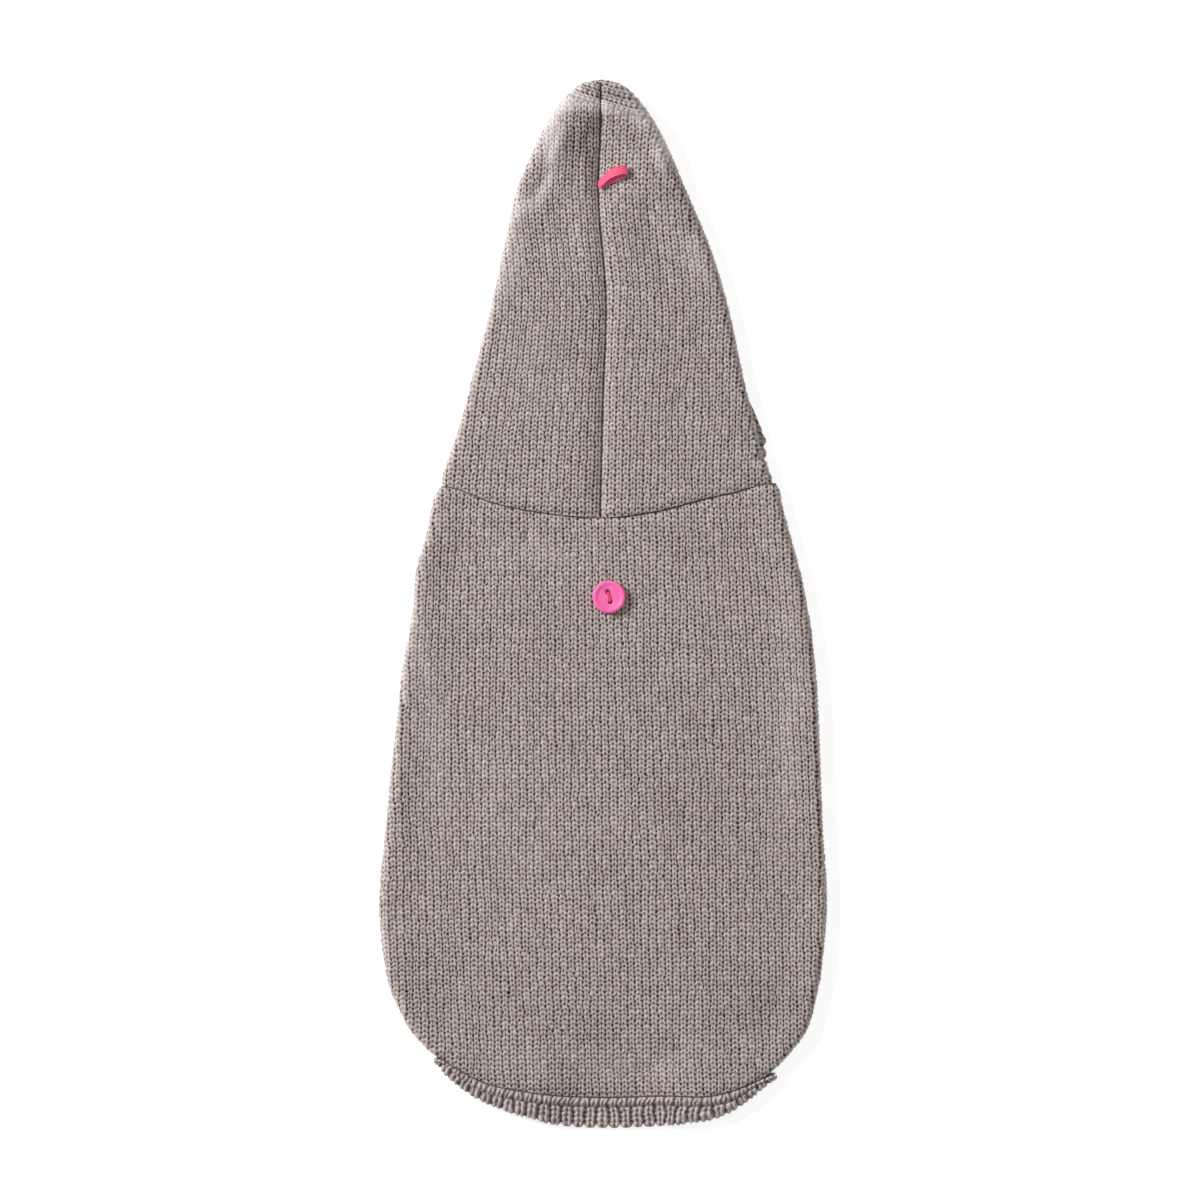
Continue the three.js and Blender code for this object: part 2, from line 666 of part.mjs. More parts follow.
// The rib band of the face opening lies flat
function faceBand() {
  const rows = 2;
  return wallGeometry(faceSteps, rows, (i, j) => {
    const angle = (i / faceSteps) * 2 * Math.PI;
    const point = facePoint(angle, (j / rows) * faceBandWidth(angle));
    return {
      outer: new THREE.Vector3(point.x, point.y, 0),
      inner: new THREE.Vector3(point.x, point.y, face.thick),
    };
  }, true);
}

function buttonGeometry() {
  const { radius, thick, rim, dish } = button;
  const round = 0.7;
  const profile = [
    [0, 0], [radius - round, 0], [radius, round], [radius, thick - round],
    [radius - 0.35 * round, thick - 0.2 * round], [radius - rim, thick],
    [radius - 1.6 * rim, thick - dish], [0, thick - dish],
  ];
  const blank = new THREE.LatheGeometry(profile.map(([x, y]) => new THREE.Vector2(x, y)), 40);
  blank.rotateX(Math.PI / 2);
  const turn = THREE.MathUtils.degToRad(buttonHole.turn);
  const holes = [-1, 1].map((end) => {
    const hole = new THREE.CylinderGeometry(buttonHole.radius, buttonHole.radius, 4 * thick, 16);
    hole.rotateX(Math.PI / 2);
    const reach = end * buttonHole.spread / 2;
    return hole.translate(reach * Math.sin(turn), -reach * Math.cos(turn), 0);
  });
  return without(blank, ...holes);
}

function topOf(tube, x, y) {
  const side = x < tube.spine(y) ? -1 : 1;
  const place = placeOfRun(tube, side, Math.abs(x - tube.spine(y)), y);
  return onTube(tube, side, place, y).z + wall / 2;
}

// The ribbon goes out from the seam, turns over at its far end and comes back on top
function loopGeometry() {
  const steps = 24;
  const last = loopRows.length - 1;
  const edgeAt = (at, end) => {
    const x = lookUp(loopRows, 'step', at, `${end}X`);
    const y = lookUp(loopRows, 'step', at, `${end}Y`);
    return new THREE.Vector3(x, y, topOf(hood, x, y) + lookUp(loopRows, 'step', at, 'over'));
  };
  const centre = (at) => edgeAt(at, 'low').lerp(edgeAt(at, 'high'), 0.5);
  const near = 0.1;
  return wallGeometry(steps, 2, (i, j) => {
    const at = (i / steps) * last;
    const [low, high] = [edgeAt(at, 'low'), edgeAt(at, 'high')];
    const heading = centre(Math.min(at + near, last)).sub(centre(Math.max(at - near, 0)));
    const face = heading.cross(high.clone().sub(low)).normalize();
    const spot = low.lerp(high, j / 2);
    return {
      outer: spot.clone().addScaledVector(face, ribbonThick / 2),
      inner: spot.addScaledVector(face, -ribbonThick / 2),
    };
  });
}

// The finished model
function named(name, geometry, color, roughness) {
  const shaded = geometry.clone();
  shaded.computeVertexNormals();
  const material = new THREE.MeshStandardMaterial({ color, roughness, metalness: 0 });
  const mesh = new THREE.Mesh(shaded, material);
  mesh.name = name;
  return mesh;
}

const cloth = 0.95;
const gloss = 0.25;
const sweater = new THREE.Group();
sweater.add(
  named('back', backPanel(), colours.knit, cloth),
  named('belly', bellyPanel(), colours.knit, cloth),
  named('hood_left', hoodHalf(-1), colours.knit, cloth),
  named('hood_right', hoodHalf(1), colours.knit, cloth),
  named('face_band', faceBand(), colours.rib, cloth),
  named('hem_band_back', hemBandBack(), colours.rib, cloth),
  named('hem_band_belly', hemBandBelly(), colours.rib, cloth),
  named('loop', loopGeometry(), colours.loop, 0.6),
);

const buttonMesh = named('button', buttonGeometry(), colours.button, gloss);
buttonMesh.position.set(button.x, button.y, topOf(body, button.x, button.y) + seamGap);
sweater.add(buttonMesh);

export default sweater;
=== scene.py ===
# A knitted dog sweater with a pointed hood, laid flat with its back up: the yarn, seams,
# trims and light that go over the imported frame. Lengths are millimetres until a mesh is made.
import bpy
import numpy as np
from mathutils import Matrix, Vector


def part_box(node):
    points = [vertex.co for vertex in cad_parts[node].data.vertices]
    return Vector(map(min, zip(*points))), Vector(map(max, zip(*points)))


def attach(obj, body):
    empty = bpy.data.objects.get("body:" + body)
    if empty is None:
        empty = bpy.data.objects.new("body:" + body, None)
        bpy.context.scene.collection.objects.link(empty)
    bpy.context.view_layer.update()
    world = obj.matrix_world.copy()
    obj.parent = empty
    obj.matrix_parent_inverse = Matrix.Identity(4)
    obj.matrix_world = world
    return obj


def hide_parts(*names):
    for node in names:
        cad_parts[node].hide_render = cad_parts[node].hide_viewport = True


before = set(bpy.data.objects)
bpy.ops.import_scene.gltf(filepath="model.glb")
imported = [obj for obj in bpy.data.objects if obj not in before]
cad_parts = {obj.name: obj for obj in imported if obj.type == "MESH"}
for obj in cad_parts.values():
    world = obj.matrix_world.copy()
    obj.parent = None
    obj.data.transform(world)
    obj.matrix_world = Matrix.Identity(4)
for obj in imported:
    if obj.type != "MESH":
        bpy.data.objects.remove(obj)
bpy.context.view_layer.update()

MM = 0.001
TAU = 2 * np.pi

# Sizes shared with the solids
WALL = 2.4
SEAM_GAP = 0.3
NECK_CLEARANCE = 0.2
HEM_CLEARANCE = 0.25
LAYER_TOP = 2.6
TIP_X, TIP_Y, TIP_CURVE, TIP_DOME, TIP_START = -0.8, 214.4, 4.97, 8.0, 0.02
HOOD_TABLE_TOP = 169.3
SIDE_WRAP = 20.0
EDGE_BLEND = 14.0
BAND_WIDTH, RIDGE, RIB_PITCH, RIB_HEIGHT = 12.3, 3.3, 4.75, 0.9
BAND_LEFT, BAND_RIGHT = -69.4, 70.4
CORNER_LENGTH, CORNER_REACH, CORNER_ROOM, CORNER_GAP = 6.0, 3.9, -0.8, 0.6
ROLL_RADIUS, FLAT_UNTIL, ROLLED_FROM = 1.6, 16.0, 32.0
BELLY_HEM = -158.0
THROAT, NECK_FOLD = 40.0, 66.0

# Outline and height rows, from the hem up: y, left, right, fold radius, crown
HOOD_ROWS = np.array([
    (34.0, -70.5, 76.0, 2.1, 5.2),
    (54.5, -65.2, 68.2, 2.1, 5.2),
    (62.5, -62.4, 65.2, 2.1, 5.3),
    (70.9, -59.5, 63.2, 2.1, 5.4),
    (95.5, -52.9, 57.0, 2.2, 5.6),
    (120.1, -46.3, 51.7, 2.4, 5.8),
    (144.7, -41.0, 44.3, 2.6, 6.2),
    (169.3, -35.3, 34.0, 3.1, 7.1),
    (185.0, -29.0, 27.4, 3.6, 8.2),
    (200.0, -20.5, 19.0, 4.0, 9.2),
    (215.0, -4.0, 2.4, 4.0, 9.2),
])
BODY_ROWS = np.array([
    (-220.0, -20.0, 30.0, 1.6, 4.4),
    (-213.0, -31.5, 43.0, 1.6, 4.4),
    (-209.0, -40.5, 51.5, 1.6, 4.4),
    (-205.0, -50.0, 59.0, 1.6, 4.4),
    (-199.7, -57.5, 64.5, 1.7, 4.4),
    (-191.5, -66.0, 70.9, 1.8, 4.4),
    (-183.3, -72.2, 77.9, 1.9, 4.4),
    (-175.1, -79.1, 83.6, 2.0, 4.4),
    (-158.7, -87.7, 88.2, 2.1, 4.4),
    (-142.3, -91.0, 91.0, 2.1, 4.4),
    (-121.8, -92.25, 92.25, 2.1, 4.4),
    (-93.1, -89.8, 90.6, 2.1, 4.4),
    (-60.3, -86.5, 89.4, 2.1, 4.4),
    (-27.5, -82.4, 87.7, 2.1, 4.4),
    (-2.9, -78.3, 84.1, 2.1, 4.4),
    (13.5, -76.7, 80.8, 2.1, 4.4),
    (29.9, -72.2, 76.3, 2.1, 4.4),
    (40.0, -70.2, 73.6, 2.1, 4.4),
    (49.7, -67.2, 72.0, 2.1, 4.4),
    (56.0, -64.6, 69.0, 2.1, 4.4),
])
HOOD_SPINE = np.array([
    (34.0, -1.2), (83.2, 0.0), (124.2, 1.2), (169.3, -2.0), (192.0, -1.2), (214.4, -0.8),
])
BODY_SPINE = np.array([(-220.0, 5.0), (56.0, 0.5)])
NECK_LINE = np.array([
    (-74, 47.4), (-62, 47.2), (-44.7, 41.0), (-22, 36.6), (0.8, 34.9), (22, 37.6),
    (43.5, 43.1), (54, 45.4), (60, 47.1), (65.5, 48.5), (78, 48.7),
])
# The hem seam, and how far the rib band shows beyond it: x, y, reach
HEM_LINE = np.array([
    (-74, -187.0, 3.0), (-67.2, -186.6, 3.9), (-59.5, -191.3, 6.0), (-48.8, -196.8, 7.8),
    (-28, -201.2, 11.0), (-14, -202.6, 12.3), (5, -203.1, 12.5), (25, -202.4, 12.2),
    (44, -202.4, 10.0), (54, -200.0, 7.5), (64, -195.8, 4.3), (72, -191.6, 3.0),
    (80, -189.0, 3.0),
])
ARCH_LEFT, ARCH_RIGHT = (-66.0, -183.8), (69.5, -192.0)
# Soft hollows and ridges: x, y, across, along, turn in degrees, height
HOOD_FORMS = [
    (1.6, 182.5, 11, 15, 0, -2.4), (3.7, 200.9, 10, 2.8, -6, 1.1),
    (-19.3, 183.7, 4, 15, -12, 0.8), (-27.5, 178, 4, 8, -15, -1.0),
    (23.4, 182.5, 3.5, 10, 14, 0.7), (20, 155, 6, 18, 8, -0.6),
    (-34, 148, 4, 14, -28, 0.6), (-50, 68, 3.5, 5, -20, 0.5),
]
BODY_FORMS = [
    (-31, 27, 3, 7, 0, -0.3), (-18, 28, 9, 7, 0, 0.4), (2.5, 2.5, 12, 10, 0, -0.35),
    (-66, -18, 5, 22, -16, 0.4),
]
VALLEY_ACROSS, VALLEY_DEPTH, VALLEY_TOP = 5.0, 1.1, 205.0
FACE_X, FACE_Y, FACE_ACROSS, FACE_ALONG, FACE_TAPER = 8.0, 82.0, 52.5, 50.0, 0.5
FACE_WIDTH, FACE_THICK = 11.0, 2.3
PEEK_LOW, PEEK_HIGH, PEEK_HEIGHT, PEEK_PITCH = 54.0, 74.0, 1.3, 5.6
LEG_Y, LEG_ACROSS, LEG_ALONG, LEG_INSET = 6.0, 14.0, 21.0, 21.0
BUTTON_X, BUTTON_Y, BUTTON_RADIUS, BUTTON_THICK = 2.5, 2.5, 6.75, 2.6
BUTTON_RIM, BUTTON_DISH = 1.1, 0.38
HOLE_RADIUS, HOLE_SPREAD, HOLE_TURN = 0.9, 4.1, 14.0
RIBBON_THICK = 0.75
# The ribbon's two edges, low and high, and the height of its middle above the cloth
LOOP_ROWS = np.array([
    (0, -1.8, 169.7, -2.0, 172.9, 0.6), (1, 2.5, 171.5, 1.0, 174.6, 0.7),
    (2, 5.8, 172.8, 4.2, 176.2, 0.7), (3, 8.4, 174.0, 7.2, 177.7, 0.75),
    (4, 10.1, 175.4, 9.4, 179.4, 1.6), (5, 8.5, 175.6, 7.7, 179.4, 2.5),
    (6, 5.8, 174.9, 5.2, 178.6, 3.0), (7, 2.8, 173.6, 1.8, 176.6, 2.8),
    (8, -1.8, 169.6, -2.06, 172.8, 1.95),
])

# Small creases of the top side that only the yarn shows, in the same columns as the forms
HOOD_CREASES = [
    (-0.6, 209.5, 0.9, 4.0, 0, -1.0), (-0.4, 196.0, 1.2, 5.5, 0, -1.2),
    (1.5, 203.6, 11, 1.9, -17, 1.3), (-6, 190, 3.0, 8, -22, -0.7), (7.5, 188, 3.0, 8, 18, -0.8),
    (-17.5, 189, 2.6, 10, -20, 1.2), (-24.5, 172.0, 3.0, 8, -32, -0.8),
    (-32.5, 172.0, 2.4, 9, -18, -0.7), (-34.5, 157.0, 3.2, 7, -24, 0.6),
    (18.5, 194, 3.2, 7, 26, 0.9), (23.6, 183.0, 2.2, 8, 16, 0.9),
    (27.6, 177.6, 1.8, 5, 14, -0.8), (19.3, 161, 2.6, 5, 0, -0.7), (30.5, 160, 2.4, 9, 14, 0.5),
    (25.4, 136.5, 2.4, 9, 6, -0.55), (-14, 150, 3, 12, 12, -0.3), (12, 112, 3, 14, -8, -0.3),
    (-24, 92, 3.2, 12, 20, -0.25), (30, 80, 3, 10, -20, -0.25), (-8, 176, 2.4, 9, 10, 0.4),
    (60.3, 65.6, 0.9, 6.0, 27, -1.1), (62.8, 62.0, 2.4, 1.7, 0, 0.6), (65.6, 56.4, 2.4, 1.7, 0, 0.6),
    (63.2, 67.0, 2.6, 0.8, 10, -0.8), (65.6, 59.2, 2.8, 0.8, 10, -0.9), (68.2, 53.4, 2.8, 0.8, 10, -0.9),
    (61.0, 58.4, 2.6, 0.7, 0, -0.5), (63.2, 53.6, 2.6, 0.7, 0, -0.5),
    (-48, 74, 2.4, 7, -20, 0.35), (-40, 60, 8, 2.4, 20, -0.3), (50, 95, 2.2, 9, 14, -0.35),
]
BODY_CREASES = [
    (-31.2, 29, 1.0, 5.0, 0, -0.7), (-26.4, 29.5, 3.2, 5.5, 0, 0.35), (-26, 10.7, 20, 2.2, 1, -0.3),
    (-67, -19, 2.4, 20, 17, -0.35), (-64, -167, 3, 3, 0, -0.45), (38, 18, 16, 2.4, 8, -0.25),
    (62, -40, 3, 18, -12, -0.25), (18, -90, 24, 3.2, -5, -0.22), (-32, -128, 18, 3, 7, -0.22),
    (48, -150, 4, 16, 12, -0.25), (-8, -60, 3.5, 20, 6, -0.18), (0, -186, 40, 3.5, 0, 0.25),
    (70, -110, 3, 22, 4, 0.25), (-74, -92, 3, 20, -4, 0.25),
]
# Painted light (above 0) and painted shade (below 0) in the yarn's colour, for lit ridges and shaded
# hollows, in the same columns
HOOD_PAINTED_SHADING = [
    (2.5, 202.2, 11, 2.6, -16, 1.0), (-12.5, 204.0, 7, 2.8, 28, 0.9), (-20.5, 190, 3.4, 12, -6, 0.95),
    (-26, 169, 3.4, 9, -30, 0.7), (-34.5, 160, 3, 9, -20, 0.5), (17.5, 198.5, 4, 6, 30, 0.7),
    (24.0, 186, 3.2, 11, 8, 0.95), (37.5, 140, 5, 9, 25, 0.35), (-37, 138, 4, 16, -14, 0.4),
    (-30.5, 172.5, 4, 6, -20, -0.75), (25.5, 167, 4.5, 8, 15, -0.55), (12, 188.5, 4, 7, 20, -0.5),
    (0, 190, 2.2, 9, 0, -0.3), (-7, 191, 4, 7, 0, -0.35), (2, 209, 8, 3.2, 0, -0.6),
    (-6, 160, 10, 20, 0, 0.15),
    (12, 150, 9, 16, 0, -0.2), (-30, 100, 12, 20, 0, 0.15), (34, 104, 10, 18, 0, -0.12),
]
BODY_PAINTED_SHADING = [
    (-72, -40, 6, 50, 6, 0.3), (74, -60, 6, 50, -3, 0.2), (-30, 20, 24, 6, 0, 0.15),
    (0, -188, 40, 7, 0, 0.2), (-70, -160, 8, 14, 20, -0.3), (66, -162, 9, 14, -20, -0.25),
    (40, -60, 16, 40, 8, -0.12),
    (-35, -90, 16, 40, 0, 0.1),
]
# Painted light along the cloth's edges, where it turns down round the folds
PAINTED_LIGHT_AT_EDGE = 0.4
# Above this line the hood's tip is knitted across: height on the seam, and its slope
TURNED_FROM, TURNED_SLOPE = 203.6, -0.3

# Knitting: size of a course, and the stitch's relief over the cloth's middle height
COURSE = 1.98
LEAN_START, LEAN = -0.2, 0.96      # course offset of a stitch's crest from its middle outwards
FLOOR_MEAN, FLOOR_TWICE, FLOOR_ONCE = -0.1, -0.2, -0.05
SWING_MEAN, SWING_TWICE, SWING_ONCE = 0.205, 0.055, 0.04
STITCH_STRENGTH, STRENGTH_VARIES = 1.25, 0.35
# Ribbing: place of a strand beside its rib's middle, and how much a course swells
STRAND, STRAND_SPAN, RIB_SWELL, RIB_LEAN = 0.21, 0.68, 0.3, 1.1


def smooth(low, high, value):
    t = np.clip((value - low) / (high - low), 0, 1)
    return t * t * (3 - 2 * t)


def mix(a, b, t):
    return a + (b - a) * t


def curve(keys, values, at):
    """Value of a table on the same smooth curve as the solids."""
    at = np.asarray(at, float)
    slopes = np.diff(values) / np.diff(keys)
    last = len(keys) - 2
    i = np.clip(np.searchsorted(keys, at, side="right") - 1, 0, last)
    inner = slopes[i]
    before = np.where(i > 0, (slopes[np.maximum(i - 1, 0)] + inner) / 2, inner)
    after = np.where(i < last, (slopes[np.minimum(i + 1, last)] + inner) / 2, inner)
    span = keys[i + 1] - keys[i]
    t = np.clip((at - keys[i]) / span, 0, 1)
    beyond = at - keys[i] - t * span
    start = 2 * t**3 - 3 * t**2 + 1
    shape = start * values[i] + (1 - start) * values[i + 1]
    shape = shape + (t**3 - 2 * t**2 + t) * span * before + (t**3 - t**2) * span * after
    return shape + beyond * np.where(beyond > 0, after, before)


def table(rows, column, at):
    return curve(rows[:, 0], rows[:, column], at)


def sum_of_forms(forms, x, y):
    """Height at x, y of soft bumps and hollows, each an ellipse turned by an angle."""
    total = np.zeros_like(x)
    for fx, fy, across, along, turn, height in forms:
        angle = np.radians(turn)
        dx = x - fx
        dy = y - fy
        a = (dx * np.cos(angle) + dy * np.sin(angle)) / across
        b = (dy * np.cos(angle) - dx * np.sin(angle)) / along
        total += height * np.exp(-a * a - b * b)
    return total


def arch_height(x):
    """Height of the belly's hem on the underside."""
    middle = (ARCH_LEFT[0] + ARCH_RIGHT[0]) / 2
    end_x = np.where(x < middle, ARCH_LEFT[0], ARCH_RIGHT[0])
    end_y = np.where(x < middle, ARCH_LEFT[1], ARCH_RIGHT[1])
    share = (x - middle) / (end_x - middle)
    return mix(BELLY_HEM, end_y, share * share)


class Tube:
    """A flattened tube of cloth. A point is given by its side, its run of cloth from the spine, and y."""

    def __init__(self, rows, spine, inset, forms, is_hood):
        self.rows = rows
        self.spine_rows = spine
        self.inset = inset
        self.forms = forms
        self.is_hood = is_hood

    def spine(self, y):
        return table(self.spine_rows, 1, y)

    def edge(self, side, y):
        left = table(self.rows, 1, y)
        right = table(self.rows, 2, y)
        edge = np.where(side < 0, left, right) - side * WALL / 2
        if self.is_hood:
            point = TIP_X + side * TIP_CURVE * np.sqrt(np.maximum(TIP_Y - y, 1e-6))
            edge = np.where(y > HOOD_TABLE_TOP, point, edge)
        return edge

    def closing(self, y):
        if not self.is_hood:
            return np.ones_like(y)
        near = np.clip((TIP_Y - y) / TIP_DOME, 1e-6, 1)
        return np.sqrt(near * (2 - near))

    def relief(self, x, y, crown):
        if self.is_hood:
            from_seam = (x - self.spine(y)) / VALLEY_ACROSS
            valley = VALLEY_DEPTH * np.exp(-from_seam * from_seam)
            fade = 1 - smooth(VALLEY_TOP - 8, VALLEY_TOP, y)
            return crown + sum_of_forms(self.forms, x, y) - valley * fade
        outwards = np.abs(x - self.spine(y))
        belly_end = arch_height(x) - BAND_WIDTH
        over_belly = smooth(belly_end - 25, belly_end + 1, y)
        over_roll = smooth(FLAT_UNTIL - 10, ROLLED_FROM + 4, outwards)
        lift = np.maximum(over_belly, over_roll)
        return mix(WALL / 2, crown + sum_of_forms(self.forms, x, y), lift)

    def section(self, side, y):
        radius = table(self.rows, 3, y)
        crown = table(self.rows, 4, y)
        closing = self.closing(y)
        start = self.spine(y) + side * self.inset
        reach = np.maximum(side * (self.edge(side, y) - start), 0.1)
        turn_radius = np.minimum(radius * closing, reach * 0.8)
        axis = WALL / 2 + radius
        run = reach - turn_radius
        return start, start + side * run, turn_radius, axis, axis + (crown - axis) * closing, run

    def whole_run(self, side, y, wrap=None):
        """Run of cloth from the spine to the end of the fold and a wrap beyond it."""
        _, _, radius, _, _, run = self.section(side, y)
        return run + np.pi * radius + (run if wrap is None else wrap)

    def middle(self, side, run, y):
        start, turn, radius, axis, crown, top_run = self.section(side, y)
        angle = (run - top_run) / radius
        on_top = run <= top_run
        under = angle > np.pi
        x_top = start + side * run
        from_turn = top_run - run
        flat = self.relief(x_top, y, crown)
        z_top = mix(axis + radius, flat, smooth(0, np.minimum(EDGE_BLEND, top_run), from_turn))
        bend = np.clip(angle, 0, np.pi)
        x = np.where(on_top, x_top, turn + side * radius * np.sin(bend))
        z = np.where(on_top, z_top, axis + radius * np.cos(bend))
        x = np.where(under, turn - side * (run - top_run - np.pi * radius), x)
        z = np.where(under, axis - radius, z)
        return np.stack([x, y + 0 * x, z], axis=-1)

    def place(self, side, run, y):
        """0 to 1 along the top, 1 to 2 round the fold, 2 to 3 along the underside."""
        _, _, radius, _, _, top_run = self.section(side, y)
        turn_run = np.pi * radius
        round_fold = 1 + (run - top_run) / turn_run
        below = 2 + (run - top_run - turn_run) / top_run
        return np.where(run <= top_run, run / top_run, np.where(round_fold <= 2, round_fold, below))

    def normal(self, side, run, y):
        step = 0.5
        low = np.maximum(run - step, 0)
        across = self.middle(side, run + step, y) - self.middle(side, low, y)
        up = np.minimum(0.4, np.maximum(TIP_Y - y, 1e-3) / 4) if self.is_hood else 0.4 + 0 * y
        along = self.middle(side, run, y + up) - self.middle(side, run, y - up)
        normal = np.cross(across, along) * side[..., None]
        middle = self.middle(side, run, y)
        from_hem = y - table(HEM_LINE, 1, middle[..., 0])
        normal[..., 1] *= smooth(6, 22, np.abs(y - 44)) * smooth(3, 15, from_hem)
        return normal / np.maximum(np.linalg.norm(normal, axis=-1, keepdims=True), 1e-9)


hood = Tube(HOOD_ROWS, HOOD_SPINE, SEAM_GAP / 2, HOOD_FORMS, True)
body = Tube(BODY_ROWS, BODY_SPINE, 0.0, BODY_FORMS, False)


def neck_height(side, place, x):
    """The neck seam: along the top, level round the folds, and dipping to the throat below."""
    on_top = table(NECK_LINE, 1, x)
    end = table(NECK_LINE, 1, side * NECK_FOLD)
    share = np.minimum(np.abs(x) / NECK_FOLD, 1)
    below = mix(THROAT, end, share**2)
    return np.where(place <= 1, on_top, np.where(place <= 2, end, below))


def hem_height(side, place, x, turn):
    on_top = table(HEM_LINE, 1, np.where(place <= 1, x, turn))
    below = arch_height(np.where(place <= 2, turn, x))
    return mix(on_top, below, np.clip(place - 1, 0, 1))


def egg(x, y, grow):
    """Signed distance, about, from the face opening's outline moved out by grow."""
    across = FACE_ACROSS - FACE_WIDTH + grow
    along = FACE_ALONG - FACE_WIDTH + grow
    up = (y - FACE_Y) / along
    side = (x - FACE_X) / (across * np.maximum(1 - FACE_TAPER * up, 0.2))
    return (np.hypot(side, up) - 1) * 45, np.arctan2(up, side)


def face_band_width(angle):
    edge_x = FACE_X + FACE_ACROSS * np.cos(angle) * (1 - FACE_TAPER * np.sin(angle))
    edge_y = FACE_Y + FACE_ALONG * np.sin(angle)
    window = smooth(PEEK_LOW, PEEK_LOW + 5, edge_y) * (1 - smooth(PEEK_HIGH - 5, PEEK_HIGH, edge_y))
    wave = np.abs(np.cos(edge_y / PEEK_PITCH * np.pi))
    return FACE_WIDTH + np.where(edge_x < FACE_X, 0, window * wave * PEEK_HEIGHT)


def face_hole(x, y, z):
    """Positive outside the part of the lower cloth that the face opening takes away."""
    _, angle = egg(x, y, FACE_WIDTH)
    outside, _ = egg(x, y, face_band_width(angle) + SEAM_GAP)
    return np.maximum(outside, (z - LAYER_TOP) * 2)


def leg_hole(side, x, y, z):
    edge = body.edge(np.array(float(side)), np.array(LEG_Y))
    middle = edge - side * LEG_INSET
    away = np.hypot((x - middle) / LEG_ACROSS, (y - LEG_Y) / LEG_ALONG)
    return np.where(z < LAYER_TOP, (away - 1) * 17, 10.0)


def soft_noise(seed, shape, coarse):
    """Smooth seeded noise of about unit size on a grid, from a coarser random grid."""
    draw = np.random.default_rng(seed)
    rows = max(int(shape[0] / coarse[0]) + 3, 4)
    cols = max(int(shape[1] / coarse[1]) + 3, 4)
    grid = draw.normal(size=(rows, cols))
    u = np.arange(shape[0]) / coarse[0]
    v = np.arange(shape[1]) / coarse[1]
    i, j = u.astype(int), v.astype(int)
    a = smooth(0, 1, u - i)[:, None]
    b = smooth(0, 1, v - j)[None, :]
    top = mix(grid[i][:, j], grid[i][:, j + 1], b)
    low = mix(grid[i + 1][:, j], grid[i + 1][:, j + 1], b)
    return mix(top, low, a)


def stitch_height(wale, course):
    """Relief of plain knitting: legs lean out from dark holes at each stitch's middle."""
    from_middle = np.abs(wale - np.round(wale))
    phase = course - LEAN_START - LEAN * from_middle
    twice = np.cos(2 * TAU * wale)
    once = np.cos(TAU * wale)
    floor = FLOOR_MEAN + FLOOR_TWICE * twice + FLOOR_ONCE * once
    swing = SWING_MEAN + SWING_TWICE * twice + SWING_ONCE * once
    return floor + swing * np.cos(TAU * phase)


def rib_height(place, course):
    """Relief of a rib: two strands beside a thin line, deep valleys between the ribs."""
    from_middle = np.abs(place - np.round(place))
    shape = np.cos(TAU * (from_middle - STRAND) / STRAND_SPAN)
    swell = RIB_SWELL * np.cos(TAU * (course - RIB_LEAN * from_middle))
    return shape + swell


def clip(points, faces, value):
    """The part of a triangle mesh where value isn't negative, cut along its zero line."""
    value = np.where(np.abs(value) < 0.06, 0.0, value)
    inside = value >= 0
    count = inside[faces].sum(axis=1)
    kept = [faces[count == 3]]
    made = []
    edges = []
    for odd_is_inside in (True, False):
        mixed = faces[count == (1 if odd_is_inside else 2)]
        odd = np.argmax(inside[mixed] == odd_is_inside, axis=1)
        order = (odd[:, None] + np.arange(3)) % 3
        mixed = np.take_along_axis(mixed, order, axis=1)
        edges.append(mixed[:, [0, 1]])
        edges.append(mixed[:, [0, 2]])
        made.append(mixed)
    pairs = np.sort(np.concatenate(edges), axis=1)
    unique, where = np.unique(pairs, axis=0, return_inverse=True)
    where = where.reshape(-1)
    a, b = unique[:, 0], unique[:, 1]
    t = value[a] / np.where(value[a] == value[b], 1, value[a] - value[b])
    fresh = points[a] + (points[b] - points[a]) * t[:, None]
    index = len(points) + np.arange(len(unique))
    index = np.where(value[a] == 0, a, np.where(value[b] == 0, b, index))
    cut = index[where]
    first, second = len(made[0]), len(made[1])
    ab, ac = cut[:first], cut[first:2 * first]
    kept.append(np.stack([made[0][:, 0], ab, ac], axis=1))
    ab, ac = cut[2 * first:2 * first + second], cut[2 * first + second:]
    b, c = made[1][:, 1], made[1][:, 2]
    kept.append(np.stack([ab, b, c], axis=1))
    kept.append(np.stack([ab, c, ac], axis=1))
    faces = np.concatenate(kept)
    whole = (faces[:, 0] != faces[:, 1]) & (faces[:, 1] != faces[:, 2]) & (faces[:, 0] != faces[:, 2])
    return compact(np.concatenate([points, fresh]), faces[whole])


def compact(points, faces):
    used, where = np.unique(faces, return_inverse=True)
    return points[used], where.reshape(faces.shape)


def grid_faces(columns, rows, ring=False):
    """Two triangles a cell for a grid whose points are numbered column by column."""
    i, j = np.meshgrid(np.arange(columns), np.arange(rows), indexing="ij")
    after = (i + 1) % columns if ring else i + 1
    a = i * (rows + 1) + j
    b = after * (rows + 1) + j
    c, d = b + 1, a + 1
    cells = np.stack([a, b, c, a, c, d], axis=-1)
    return cells.reshape(-1, 3)


def loops_of(faces):
    """Closed chains of the edges that only one triangle has, in the triangles' own direction."""
    edges = np.concatenate([faces[:, [0, 1]], faces[:, [1, 2]], faces[:, [2, 0]]])
    size = int(faces.max()) + 1
    forward = edges[:, 0] * size + edges[:, 1]
    backward = edges[:, 1] * size + edges[:, 0]
    open_edges = edges[~np.isin(forward, backward)]
    follow = {}
    for a, b in open_edges.tolist():
        follow.setdefault(a, []).append(b)
    chains = []
    while follow:
        first = next(iter(follow))
        chain = []
        here = first
        while here in follow:
            chain.append(here)
            onward = follow[here].pop()
            if not follow[here]:
                del follow[here]
            here = onward
        if len(chain) > 5:
            chains.append(np.array(chain))
    return sorted(chains, key=len, reverse=True)


